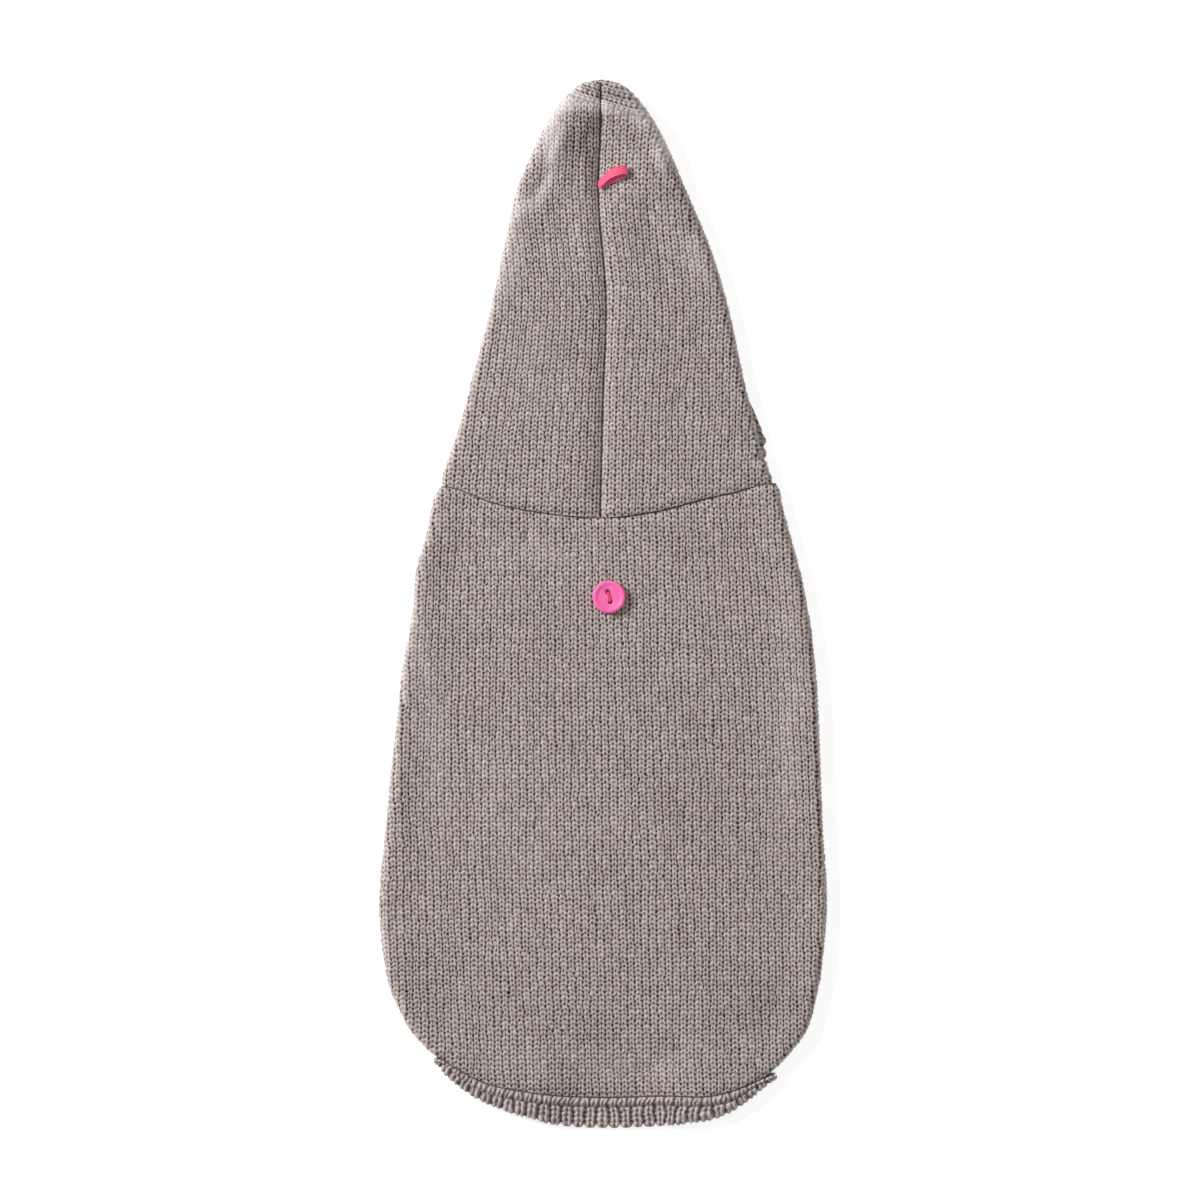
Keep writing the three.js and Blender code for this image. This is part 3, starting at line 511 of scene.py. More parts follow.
def zip_loops(outer, inner, outer_at, inner_at):
    """Triangles between an edge loop of the outer layer and the inner layer's loop beside it."""
    start = int(np.argmin(np.linalg.norm(inner_at[inner] - outer_at[outer[0]], axis=1)))
    inner = np.roll(inner, -start)
    a = outer_at[np.append(outer, outer[0])]
    b = inner_at[np.append(inner, inner[0])]
    faces = []
    i = j = 0
    while i < len(outer) or j < len(inner):
        step_a = np.hypot(*(a[i + 1] - b[j])) if i < len(outer) else np.inf
        step_b = np.hypot(*(a[i] - b[j + 1])) if j < len(inner) else np.inf
        one, other = outer[i % len(outer)], inner[j % len(inner)]
        if step_a <= step_b:
            i += 1
            faces.append((outer[i % len(outer)], one, -1 - other))
        else:
            j += 1
            faces.append((one, -1 - other, -1 - inner[j % len(inner)]))
    return faces


def make_mesh(name, points, faces, uv, material):
    """A closed mesh piece, faces out; uv has one row a point, or one a corner of each face."""
    corners = uv if len(uv) == faces.size else uv[faces.ravel()]
    a, b, c = (points[faces[:, k]] for k in range(3))
    if np.einsum("ij,ij->i", a, np.cross(b, c)).sum() < 0:
        faces = faces[:, ::-1]
        corners = corners.reshape(-1, 3, 2)[:, ::-1].reshape(-1, 2)
    mesh = bpy.data.meshes.new(name)
    mesh.vertices.add(len(points))
    mesh.vertices.foreach_set("co", (points * MM).astype(np.float32).ravel())
    mesh.loops.add(faces.size)
    mesh.loops.foreach_set("vertex_index", faces.astype(np.int32).ravel())
    mesh.polygons.add(len(faces))
    mesh.polygons.foreach_set("loop_start", np.arange(0, faces.size, 3, dtype=np.int32))
    mesh.polygons.foreach_set("use_smooth", np.ones(len(faces), bool))
    layer = mesh.uv_layers.new(name="Stitch")
    layer.data.foreach_set("uv", corners.astype(np.float32).ravel())
    mesh.update()
    mesh.validate()
    mesh.materials.append(material)
    piece = bpy.data.objects.new(name, mesh)
    bpy.context.collection.objects.link(piece)
    return piece


class Panel:
    """A knitted panel on a tube: a fine outer layer of stitches, a plain inner layer and a rim."""

    def __init__(self, tube, pitch, limits, side=None):
        self.tube = tube
        self.pitch = pitch
        self.limits = limits
        self.side = side

    def sides(self, run):
        if self.side is not None:
            return np.full_like(run, float(self.side))
        return np.where(run < 0, -1.0, 1.0)

    def cut(self, points, faces):
        for limit in self.limits:
            run, y = points[:, 0], points[:, 1]
            side = self.sides(run)
            points, faces = clip(points, faces, limit(self.tube, side, np.abs(run), y))
        return points, faces

    def distance(self, points):
        run, y = points[:, 0], points[:, 1]
        side = self.sides(run)
        return np.min([limit(self.tube, side, np.abs(run), y) for limit in self.limits], axis=0)

    def surface(self, points, raised):
        run, y = points[:, 0], points[:, 1]
        side = self.sides(run)
        middle = self.tube.middle(side, np.abs(run), y)
        normal = self.tube.normal(side, np.abs(run), y)
        return middle + normal * raised[:, None]


# Wobble of the stitches, and how the cloth's edge is tucked in at a seam
WALE_WOBBLE, WALE_DRIFT, COURSE_WOBBLE, COURSE_DRIFT = 0.2, 0.35, 0.16, 0.45
TUCK_WIDTH, TUCK_DEPTH = 3.2, 0.85
UNDER_PRESS = 0.35               # how far the stitches that lie on the surface are pressed in


def knit_points(panel, wales, phases, seed):
    """Points of the stitch lattice, in columns of one wale place and rows of one stitch phase."""
    shape = (len(wales), len(phases))
    wale = np.repeat(wales[:, None], shape[1], axis=1)
    from_middle = np.abs(wale - np.round(wale))
    course = phases[None, :] + LEAN_START + LEAN * from_middle
    y = course * COURSE + COURSE_WOBBLE * soft_noise(seed, shape, (4, 6))
    y += COURSE_DRIFT * soft_noise(seed + 3, shape, (40, 60))
    run = panel.pitch(wale, y) + WALE_WOBBLE * soft_noise(seed + 1, shape, (3, 4))
    run += WALE_DRIFT * soft_noise(seed + 4, shape, (12, 40)) * smooth(0, 2, np.abs(wale))
    return np.stack([run, y, wale, course], axis=-1).reshape(-1, 4)


def turned_stitches(panel, points):
    """Stitch places, turned across where the hood's tip is knitted the other way."""
    stitch = points[:, 2:4].copy()
    if panel.tube.is_hood:
        x = panel.tube.middle(panel.sides(points[:, 0]), np.abs(points[:, 0]), points[:, 1])[:, 0]
        up = points[:, 1] - TURNED_FROM - TURNED_SLOPE * x
        turned = np.stack([up / 2.9, (x + 0.35 * up) / COURSE], axis=1)
        stitch = np.where((up > 0)[:, None], turned, stitch)
    return stitch


def knit_panel(name, panel, wales, phases, seed, material, creases=(), shading_patches=(), inner_cell=4.0):
    """A panel's mesh with its stitches, and the size and area of its flat cut."""
    points = knit_points(panel, wales, phases, seed)
    faces = grid_faces(len(wales) - 1, len(phases) - 1)
    points, faces = panel.cut(points, faces)
    distance = np.maximum(panel.distance(points), 0)
    stitch = turned_stitches(panel, points)
    uneven = soft_noise(seed + 2, (400, 400), (1, 1))
    cell = (np.floor(stitch[:, 0] * 2).astype(int) % 400, np.floor(stitch[:, 1]).astype(int) % 400)
    strength = STITCH_STRENGTH * np.clip(1 + STRENGTH_VARIES * uneven[cell], 0.3, 1.8)
    middle = panel.surface(points, np.zeros(len(points)))
    normal = panel.surface(points, np.ones(len(points))) - middle
    on_top = smooth(0.1, 0.6, normal[:, 2])
    # Painted light and shade: patches on the top side, and a lighter band where the cloth turns down at the
    # folds. The stitches are flattened a little under the painted light.
    painted_shading = sum_of_forms(shading_patches, middle[:, 0], middle[:, 1]) * on_top
    painted_shading += PAINTED_LIGHT_AT_EDGE * np.exp(-(((normal[:, 2] - 0.45) / 0.22) ** 2))
    painted_shading = np.clip(painted_shading, -1, 1)
    fade = mix(0.25, 1, smooth(0, 1.4, distance)) * (1 - 0.35 * np.clip(painted_shading, 0, 1))
    raised = stitch_height(stitch[:, 0], stitch[:, 1]) * strength * fade
    raised -= TUCK_DEPTH * (1 - smooth(0, TUCK_WIDTH, distance)) ** 1.3
    raised += sum_of_forms(creases, middle[:, 0], middle[:, 1]) * on_top
    raised -= UNDER_PRESS * smooth(0.2, 0.8, -normal[:, 2])
    outer = middle + normal * (WALL / 2 + raised)[:, None]
    outer[:, 2] = np.maximum(outer[:, 2], 0)
    points = np.concatenate([points[:, :2], stitch], axis=1)

    span = points[:, :2].min(axis=0) - inner_cell, points[:, :2].max(axis=0) + inner_cell
    steps = np.ceil((span[1] - span[0]) / inner_cell).astype(int)
    across = np.linspace(span[0][0], span[1][0], steps[0] + 1)
    along = np.linspace(span[0][1], span[1][1], steps[1] + 1)
    plain = np.stack(np.meshgrid(across, along, indexing="ij"), axis=-1).reshape(-1, 2)
    plain, plain_faces = panel.cut(plain, grid_faces(*steps))
    depth = np.full(len(plain), -WALL / 2)
    inner = panel.surface(plain, depth)
    inner_uv = np.stack([plain[:, 0] / 3.0, plain[:, 1] / COURSE], axis=1)

    rim = []
    inner_loops = loops_of(plain_faces)
    for loop in loops_of(faces):
        centre = points[loop, :2].mean(axis=0)
        beside = min(inner_loops, key=lambda other: np.hypot(*(plain[other, :2].mean(axis=0) - centre)))
        rim += zip_loops(loop, beside, points[:, :2], plain)
    rim = np.array(rim)
    rim = np.where(rim < 0, len(points) - 1 - rim, rim)
    all_faces = np.concatenate([faces, plain_faces[:, ::-1] + len(points), rim])
    all_uv = np.concatenate([points[:, 2:4], inner_uv])
    piece = make_mesh(name, np.concatenate([outer, inner]), all_faces, all_uv, material)
    # The mask of painted light and shade, read by the yarn's colour
    layer = piece.data.attributes.new("PaintedShading", "FLOAT", "POINT")
    layer.data.foreach_set("value", np.pad(painted_shading, (0, len(inner))).astype(np.float32))
    flat = triangle_areas(np.pad(plain[:, :2], ((0, 0), (0, 1))), plain_faces).sum()
    size = np.ptp(plain[:, 0]), np.ptp(plain[:, 1])
    return piece, size, flat


def triangle_areas(points, faces):
    a, b, c = (points[faces[:, k]] for k in range(3))
    return np.linalg.norm(np.cross(b - a, c - a), axis=1) / 2


def wall_mesh(name, outer, inner, uv, material, ring=False, other_uv=None, other_where=None):
    """A closed wall from two grids of points. Other_uv is the map of the faces in other_where."""
    columns, rows = outer.shape[0] - (0 if ring else 1), outer.shape[1] - 1
    size = outer.shape[0] * outer.shape[1]
    faces = grid_faces(columns, rows, ring)
    number = np.arange(size).reshape(outer.shape[:2])
    strips = [number[:, 0], number[:, -1][::-1]]
    if ring:
        strips = [np.append(strip, strip[0]) for strip in strips]
    else:
        strips += [number[0, ::-1], number[-1, :]]
    rims = []
    for strip in strips:
        a, b = strip[:-1], strip[1:]
        rims.append(np.stack([b, a, a + size], axis=1))
        rims.append(np.stack([b, a + size, b + size], axis=1))
    everything = np.concatenate([faces, faces[:, ::-1] + size] + rims)
    points = np.concatenate([outer.reshape(-1, 3), inner.reshape(-1, 3)])
    flat_uv = np.concatenate([uv.reshape(-1, 2), uv.reshape(-1, 2)])[everything.ravel()]
    if other_uv is not None:
        other = np.concatenate([other_uv.reshape(-1, 2), other_uv.reshape(-1, 2)])[everything.ravel()]
        chosen = np.concatenate([other_where.ravel(), other_where.ravel()])[everything].all(axis=1)
        flat_uv = np.where(np.repeat(chosen, 3)[:, None], other, flat_uv)
    return make_mesh(name, points, everything, flat_uv, material)


class Nodes:
    """Short calls that build one material's nodes."""

    def __init__(self, name):
        self.material = bpy.data.materials.new(name)
        self.material.use_nodes = True
        self.tree = self.material.node_tree
        self.shader = self.tree.nodes["Principled BSDF"]

    def add(self, kind, inputs=(), **settings):
        node = self.tree.nodes.new(kind)
        for key, value in settings.items():
            setattr(node, key, value)
        for key, value in dict(inputs).items():
            self.set(node.inputs[key], value)
        return node

    def set(self, socket, value):
        if isinstance(value, bpy.types.NodeSocket):
            self.tree.links.new(value, socket)
        else:
            socket.default_value = value

    def math(self, operation, *values):
        node = self.add("ShaderNodeMath", enumerate(values), operation=operation)
        return node.outputs[0]

    def shade(self, colour, low, high, factor):
        """Colour made darker or lighter as factor goes from 0 to 1."""
        ratio = self.add("ShaderNodeMapRange", {"Value": factor, "To Min": low, "To Max": high})
        node = self.add("ShaderNodeMix", data_type="RGBA", blend_type="MULTIPLY")
        self.set(node.inputs[0], 1.0)
        self.set(node.inputs[6], colour)
        grey = self.add("ShaderNodeCombineColor", {k: ratio.outputs[0] for k in range(3)})
        self.set(node.inputs[7], grey.outputs[0])
        return node.outputs[2]

    def blend(self, colour, other, factor):
        node = self.add("ShaderNodeMix", data_type="RGBA")
        self.set(node.inputs[0], factor)
        self.set(node.inputs[6], colour)
        self.set(node.inputs[7], other)
        return node.outputs[2]

    def tint(self, colour, one, other, factor):
        """Colour drawn towards one of two tints as factor goes from 0.35 to 0.65."""
        share = self.add("ShaderNodeMapRange", {"Value": factor, "From Min": 0.35, "From Max": 0.65})
        tone = self.add("ShaderNodeMix", data_type="RGBA")
        self.set(tone.inputs[0], share.outputs[0])
        self.set(tone.inputs[6], one)
        self.set(tone.inputs[7], other)
        node = self.add("ShaderNodeMix", data_type="RGBA", blend_type="MULTIPLY")
        self.set(node.inputs[0], 1.0)
        self.set(node.inputs[6], colour)
        self.set(node.inputs[7], tone.outputs[2])
        return node.outputs[2]

    def ramp(self, factor, stops):
        node = self.add("ShaderNodeValToRGB", {"Fac": factor})
        elements = node.color_ramp.elements
        elements[0].position, elements[0].color = stops[0]
        elements[1].position, elements[1].color = stops[-1]
        for position, colour in stops[1:-1]:
            elements.new(position).color = colour
        return node.outputs[0]

    def noise(self, vector, scale, detail=2.0, kind="3D"):
        inputs = {"Vector": vector, "Scale": scale, "Detail": detail}
        return self.add("ShaderNodeTexNoise", inputs, noise_dimensions=kind).outputs[0]

    def finish(self, **inputs):
        for key, value in inputs.items():
            self.set(self.shader.inputs[key.replace("_", " ")], value)
        return self.material


def linear(red, green, blue):
    """A colour given in sRGB steps, as the shader wants it."""
    levels = np.array([red, green, blue]) / 255
    low = levels / 12.92
    high = ((levels + 0.055) / 1.055) ** 2.4
    return (*np.where(levels <= 0.04045, low, high).tolist(), 1.0)


def seam_material():
    """Yarn of a seam, coloured dark as painted shade of its groove."""
    n = Nodes("seam yarn in painted shade")
    spot = n.add("ShaderNodeTexCoord").outputs["Object"]
    fibre = n.noise(spot, 1500.0, 3.0)
    colour = n.ramp(fibre, [(0.25, linear(70, 61, 58)), (0.75, linear(116, 104, 99))])
    bump = n.add("ShaderNodeBump", {"Strength": 0.5, "Distance": 0.0003, "Height": fibre})
    return n.finish(Base_Color=colour, Roughness=0.95, Normal=bump.outputs[0], Specular_IOR_Level=0.1)


# Painted shade where two wales meet: how far the height, and so the colour, drops there
PAINTED_SHADE_BETWEEN_WALES = 0.16


def knit_relief(n, wale, course):
    """The stitch's height, 0 to 1, and the number of the leg it belongs to."""
    from_middle = n.math("PINGPONG", wale, 0.5)
    lean = n.math("MULTIPLY_ADD", from_middle, -LEAN, -LEAN_START)
    phase = n.math("ADD", course, lean)
    turn = n.math("COSINE", n.math("MULTIPLY", phase, TAU))
    twice = n.math("COSINE", n.math("MULTIPLY", wale, 2 * TAU))
    once = n.math("COSINE", n.math("MULTIPLY", wale, TAU))
    floor = n.math("MULTIPLY_ADD", twice, FLOOR_TWICE, FLOOR_MEAN)
    floor = n.math("MULTIPLY_ADD", once, FLOOR_ONCE, floor)
    swing = n.math("MULTIPLY_ADD", twice, SWING_TWICE, SWING_MEAN)
    swing = n.math("MULTIPLY_ADD", once, SWING_ONCE, swing)
    height = n.math("MULTIPLY_ADD", swing, turn, floor)
    cell = n.add("ShaderNodeCombineXYZ", {
        0: n.math("FLOOR", n.math("MULTIPLY", wale, 2.0)),
        1: n.math("FLOOR", n.math("ADD", phase, 0.5)),
    }).outputs[0]
    level = n.add("ShaderNodeMapRange", {"Value": height, "From Min": -0.62, "From Max": 0.3})
    # Lower where two wales meet: a little bump, and painted shade in the colour
    between = n.math("POWER", n.math("MULTIPLY_ADD", once, 0.5, 0.5), 6.0)
    level = n.math("MULTIPLY_ADD", between, -PAINTED_SHADE_BETWEEN_WALES, level.outputs[0])
    return level, cell


def rib_relief(n, place, course):
    from_middle = n.math("PINGPONG", place, 0.5)
    across = n.math("MULTIPLY_ADD", from_middle, TAU / STRAND_SPAN, -TAU * STRAND / STRAND_SPAN)
    shape = n.math("COSINE", across)
    phase = n.math("MULTIPLY_ADD", from_middle, -RIB_LEAN, course)
    swell = n.math("COSINE", n.math("MULTIPLY", phase, TAU))
    height = n.math("MULTIPLY_ADD", swell, RIB_SWELL, shape)
    cell = n.add("ShaderNodeCombineXYZ", {
        0: n.math("FLOOR", n.math("MULTIPLY", place, 2.0)),
        1: n.math("FLOOR", n.math("ADD", phase, 0.5)),
    }).outputs[0]
    level = n.add("ShaderNodeMapRange", {"Value": height, "From Min": -1.15, "From Max": 1.2})
    return level.outputs[0], cell


def yarn_material(name, relief, stops, contrast):
    """Yarn colour from the stitch's own height, as painted shade in its holes and painted highlight on its
    crests, with uneven stitches, streaked rows, fibres and patches of painted light and shade.
    """
    n = Nodes(name)
    where = n.add("ShaderNodeUVMap", uv_map="Stitch").outputs[0]
    spot = n.add("ShaderNodeTexCoord").outputs["Object"]
    jitter = n.add("ShaderNodeTexNoise", {"Vector": spot, "Scale": 620.0, "Detail": 1.0}).outputs[1]
    drift = n.add("ShaderNodeVectorMath", {0: jitter, 1: (0.5, 0.5, 0.5)}, operation="SUBTRACT").outputs[0]
    drift = n.add("ShaderNodeVectorMath", {0: drift, 1: (0.34, 0.5, 0.0)}, operation="MULTIPLY").outputs[0]
    where = n.add("ShaderNodeVectorMath", {0: where, 1: drift}, operation="ADD").outputs[0]
    parts = n.add("ShaderNodeSeparateXYZ", {0: where}).outputs
    wale, course = parts[0], parts[1]
    level, cell = relief(n, wale, course)
    each = n.add("ShaderNodeTexWhiteNoise", {0: cell}, noise_dimensions="2D").outputs
    pick = n.add("ShaderNodeSeparateXYZ", {0: each[1]}).outputs
    uneven = n.math("MULTIPLY_ADD", n.math("SUBTRACT", pick[0], 0.5), UNEVEN_DEPTH, level)
    fibre = n.noise(spot, 2300.0, 3.0)
    uneven = n.math("MULTIPLY_ADD", n.math("SUBTRACT", fibre, 0.5), 0.3, uneven)
    uneven = n.add("ShaderNodeClamp", {"Value": uneven}).outputs[0]
    # The stitch's height picks the colour: painted shade in the holes, painted highlight on the crests
    colour = n.ramp(n.math("POWER", uneven, contrast), stops)
    colour = n.shade(colour, 0.95, 1.05, pick[1])

    streak = n.add("ShaderNodeCombineXYZ", {
        0: n.math("MULTIPLY", wale, 0.14),
        1: n.math("MULTIPLY", course, 1.3),
    }).outputs[0]
    colour = n.shade(colour, 0.9, 1.1, n.noise(streak, 1.0, 1.0, "2D"))
    colour = n.shade(colour, 0.9, 1.1, n.noise(spot, 45.0, 3.0))
    # Painted light and shade from the mask: darker or lighter, and drawn towards a pale colour as painted
    # highlight
    painted_shading = n.add("ShaderNodeAttribute", attribute_name="PaintedShading").outputs["Fac"]
    colour = n.shade(colour, 0.68, 1.32, n.math("MULTIPLY_ADD", painted_shading, 0.5, 0.5))
    colour = n.blend(colour, PAINTED_HIGHLIGHT_COLOUR, n.math("MULTIPLY", n.math("MAXIMUM", painted_shading, 0.0), 0.62))
    colour = n.tint(colour, (1.02, 0.985, 0.99, 1), (0.985, 1.0, 0.975, 1), n.noise(spot, 90.0, 3.0))
    bump_height = n.math("MULTIPLY_ADD", fibre, 0.35, level)
    bump = n.add("ShaderNodeBump", {"Strength": 0.5, "Distance": 0.0005, "Height": bump_height})
    return n.finish(
        Base_Color=colour, Roughness=0.9, Normal=bump.outputs[0],
        Sheen_Weight=0.3, Sheen_Roughness=0.5, Specular_IOR_Level=0.2,
    )


def button_material():
    n = Nodes("button plastic")
    spot = n.add("ShaderNodeTexCoord").outputs["Object"]
    colour = n.ramp(n.noise(spot, 160.0, 3.0), [
        (0.3, linear(253, 104, 172)), (0.7, linear(255, 118, 184)),
    ])
    scratch = n.noise(spot, 900.0, 4.0)
    bump = n.add("ShaderNodeBump", {"Strength": 0.06, "Distance": 0.0002, "Height": scratch})
    gloss = n.add("ShaderNodeMapRange", {"Value": scratch, "To Min": 0.4, "To Max": 0.55})
    return n.finish(
        Base_Color=colour, Roughness=gloss.outputs[0], Normal=bump.outputs[0],
        Coat_Weight=0.1, Coat_Roughness=0.2, Subsurface_Weight=0.12, Subsurface_Scale=0.002,
    )


def ribbon_material():
    """Grosgrain: fine cords across the ribbon, a few lengthwise lines and a firm edge."""
    n = Nodes("ribbon weave")
    where = n.add("ShaderNodeUVMap", uv_map="Stitch").outputs[0]
    parts = n.add("ShaderNodeSeparateXYZ", {0: where}).outputs
    weft = n.math("SINE", n.math("MULTIPLY", parts[0], TAU * 2.4))
    warp = n.math("SINE", n.math("MULTIPLY", parts[1], TAU * 1.25))
    height = n.math("MULTIPLY_ADD", warp, 0.8, n.math("MULTIPLY", weft, 0.35))
    # Darker in the weave's hollows, lighter on its cords: painted shade and painted highlight
    level = n.add("ShaderNodeMapRange", {"Value": height, "From Min": -1.1, "From Max": 1.1})
    colour = n.ramp(level.outputs[0], [
        (0.0, linear(238, 62, 104)), (0.5, linear(252, 92, 130)), (1.0, linear(255, 122, 154)),
    ])
    spot = n.add("ShaderNodeTexCoord").outputs["Object"]
    colour = n.shade(colour, 0.9, 1.1, n.noise(spot, 1500.0, 3.0))
    bump = n.add("ShaderNodeBump", {"Strength": 0.5, "Distance": 0.00015, "Height": height})
    return n.finish(
        Base_Color=colour, Roughness=0.48, Normal=bump.outputs[0],
        Sheen_Weight=0.25, Sheen_Roughness=0.4,
    )


def thread_material():
    n = Nodes("sewing thread")
    spot = n.add("ShaderNodeTexCoord").outputs["Object"]
    colour = n.ramp(n.noise(spot, 2200.0, 2.0), [
        (0.3, linear(226, 44, 104)), (0.7, linear(252, 84, 138)),
    ])
    bump = n.add("ShaderNodeBump", {
        "Strength": 0.4, "Distance": 0.0001, "Height": n.noise(spot, 5200.0, 2.0),
    })
    return n.finish(Base_Color=colour, Roughness=0.6, Normal=bump.outputs[0])


UNEVEN_DEPTH = 0.2
# Pale colour of the painted highlights
PAINTED_HIGHLIGHT_COLOUR = linear(204, 198, 201)
# Knit colours by height, from painted shade in the holes to painted highlight on the legs
knit = yarn_material("knitted yarn", knit_relief, [
    (0.0, linear(40, 33, 31)), (0.22, linear(98, 87, 82)), (0.5, linear(160, 148, 143)),
    (1.0, linear(204, 194, 190)),
], 0.9)
# Rib colours by height, from painted shade in the valleys to painted highlight on the strands
rib = yarn_material("ribbed yarn", rib_relief, [
    (0.0, linear(66, 57, 55)), (0.3, linear(112, 101, 99)), (0.6, linear(154, 142, 140)),
    (1.0, linear(196, 186, 184)),
], 0.95)
plastic = button_material()
seam_yarn = seam_material()
ribbon = ribbon_material()
thread = thread_material()


def body_pitch(wale, y):
    """Run of cloth from the spine to a wale. Stitches are widest in the middle of the back."""
    pitch = curve(np.array([-205.0, -60.0, 48.0]), np.array([3.05, 3.09, 2.93]), y)
    return pitch * wale * (1 - 0.022 * (wale / 30) ** 2)


def hood_pitch(side):
    low, high = (3.0, 2.62) if side < 0 else (2.88, 2.84)

    def pitch(wale, y):
        return mix(low, high, smooth(40, 140, y)) * wale
    return pitch


def below_neck(tube, side, run, y):
    place = tube.place(side, run, y)
    x = tube.middle(side, run, y)[:, 0]
    return neck_height(side, place, x) - NECK_CLEARANCE - y


def above_neck(tube, side, run, y):
    return -below_neck(tube, side, run, y) - 2 * NECK_CLEARANCE


def above_hem(clearance):
    def limit(tube, side, run, y):
        place = tube.place(side, run, y)
        x = tube.middle(side, run, y)[:, 0]
        turn = tube.section(side, y)[1]
        return y - hem_height(side, place, x, turn) - clearance
    return limit


def inside_seam(tube, side, run, y):
    return tube.whole_run(side, y, SIDE_WRAP - SEAM_GAP / 2) - run


def outside_face(tube, side, run, y):
    x, _, z = tube.middle(side, run, y).T
    return face_hole(x, y, z)


def outside_leg(leg_side):
    def limit(tube, side, run, y):
        x, _, z = tube.middle(side, run, y).T
        return leg_hole(leg_side, x, y, z)
    return limit


def spread(ends, fine, coarse_from=None):
    """Wale places in steps of a share of a wale, twice as wide from a given place on."""
    places = np.arange(np.floor(ends[0] / fine), np.ceil(ends[1] / fine) + 1) * fine
    if coarse_from is None:
        return places
    whole = np.round(places / fine).astype(int)
    return places[(np.abs(places) <= coarse_from) | (whole % 2 == 0)]


def phase_rows(low, high, steps):
    first = np.floor(low / COURSE) - 1
    last = np.ceil(high / COURSE) + 1
    return first + np.arange(int((last - first) * steps) + 1) / steps


back_panel = Panel(body, body_pitch, [
    below_neck, above_hem(HEM_CLEARANCE), inside_seam, outside_leg(-1), outside_leg(1), outside_face,
])
back, back_size, back_area = knit_panel(
    "knit_back", back_panel, spread((-42, 42), 0.25, 28.5), phase_rows(-206, 51, 3), 11, knit,
    BODY_CREASES, BODY_PAINTED_SHADING,
)
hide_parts("back")


class BellyTube(Tube):
    """The belly is flat on the underside, and is measured from the spine like the back's top."""

    def middle(self, side, run, y):
        x = self.spine(y) + side * run
        return np.stack([x, y + 0 * x, np.full_like(x, WALL / 2)], axis=-1)

    def normal(self, side, run, y):
        return np.tile([0.0, 0.0, -1.0], (len(run), 1))


belly_tube = BellyTube(BODY_ROWS, BODY_SPINE, 0.0, BODY_FORMS, False)


def belly_below_neck(tube, side, run, y):
    x = tube.middle(side, run, y)[:, 0]
    return neck_height(side, np.full_like(x, 2.5), x) - NECK_CLEARANCE - y


def belly_above_hem(tube, side, run, y):
    x = tube.middle(side, run, y)[:, 0]
    return y - arch_height(x) - SEAM_GAP / 2


def belly_inside_seam(tube, side, run, y):
    top_run = body.section(side, y)[5]
    return top_run - SIDE_WRAP - SEAM_GAP / 2 - run


belly_panel = Panel(belly_tube, body_pitch, [
    belly_below_neck, belly_above_hem, belly_inside_seam, outside_leg(-1), outside_leg(1), outside_face,
])
belly, belly_size, belly_area = knit_panel(
    "knit_belly", belly_panel, spread((-26, 26), 0.25), phase_rows(-195, 46, 3), 23, knit,
)
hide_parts("belly")


def inside_hood(tube, side, run, y):
    return tube.whole_run(side, y) - run


def from_hood_seam(tube, side, run, y):
    return run


def below_tip(tube, side, run, y):
    return TIP_Y - TIP_START - y


def hood_rows():
    """Rows of stitches up the hood, closer together towards its tip."""
    even = phase_rows(30, 200, 3)
    last = TIP_Y / COURSE + 0.3
    t = np.linspace(0, 1, 40)[1:]
    return np.append(even, mix(even[-1], last, t * (2 - t)))


hoods = []
hood_cuts = []
for hood_side, hood_name in ((-1, "left"), (1, "right")):
    hood_panel = Panel(hood, hood_pitch(hood_side), [
        above_neck, below_tip, from_hood_seam, inside_hood, outside_face,
    ], hood_side)
    half, half_size, half_area = knit_panel(
        f"knit_hood_{hood_name}", hood_panel, spread((-0.5, 56), 0.25), hood_rows(),
        31 + hood_side, knit, HOOD_CREASES, HOOD_PAINTED_SHADING, 3.0,
    )
    hood_cuts.append((half_size, half_area))
    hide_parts(f"hood_{hood_name}")
    hoods.append(half)


def band_section(start, turn, rolled, down):
    """Section of the hem band, by the run of cloth from the seam."""
    flat = mix(start, WALL / 2, smooth(0, BAND_WIDTH, down))
    angle = np.clip((down - turn) / ROLL_RADIUS, 0, np.pi)
    under = np.maximum(down - turn - np.pi * ROLL_RADIUS, 0)
    out = np.minimum(down, turn) + ROLL_RADIUS * np.sin(angle) - under
    rolled_height = WALL / 2 + ROLL_RADIUS * (1 + np.cos(angle))
    return mix(down, out, rolled), mix(flat, rolled_height, rolled), angle * rolled


def length_of(x, y):
    return np.hypot(np.diff(x), np.diff(y)).sum()


def hem_stations(per_rib):
    """Evenly spaced places along the hem line, from corner to corner."""
    x = np.linspace(BAND_LEFT, BAND_RIGHT, 401)
    y = table(HEM_LINE, 1, x)
    run = np.append(0, np.cumsum(np.hypot(np.diff(x), np.diff(y))))
    steps = int(round(run[-1] / RIB_PITCH)) * per_rib
    return np.interp(run[-1] * np.arange(steps + 1) / steps, run, x)


NOTCH_DEPTH, LOBE_ROUND, END_ROUND = 1.1, 0.55, 1.6
RIDGE_SHOWN, RIDGE_AT_CORNER = 3.7, 0.3
RIDGE_BUMP, RIDGE_SLANT = 3.9, 0.12
RIB_COURSE, GROOVE_WIDTH, GROOVE_DEPTH = 2.05, 0.45, 0.45
BAND_TUCK, BAND_TUCK_WIDTH = 0.6, 0.9
RIB_MIDDLE, RIB_SWING, RIDGE_SWING, RIDGE_BULGE = 0.25, 0.5, 0.4, 0.8


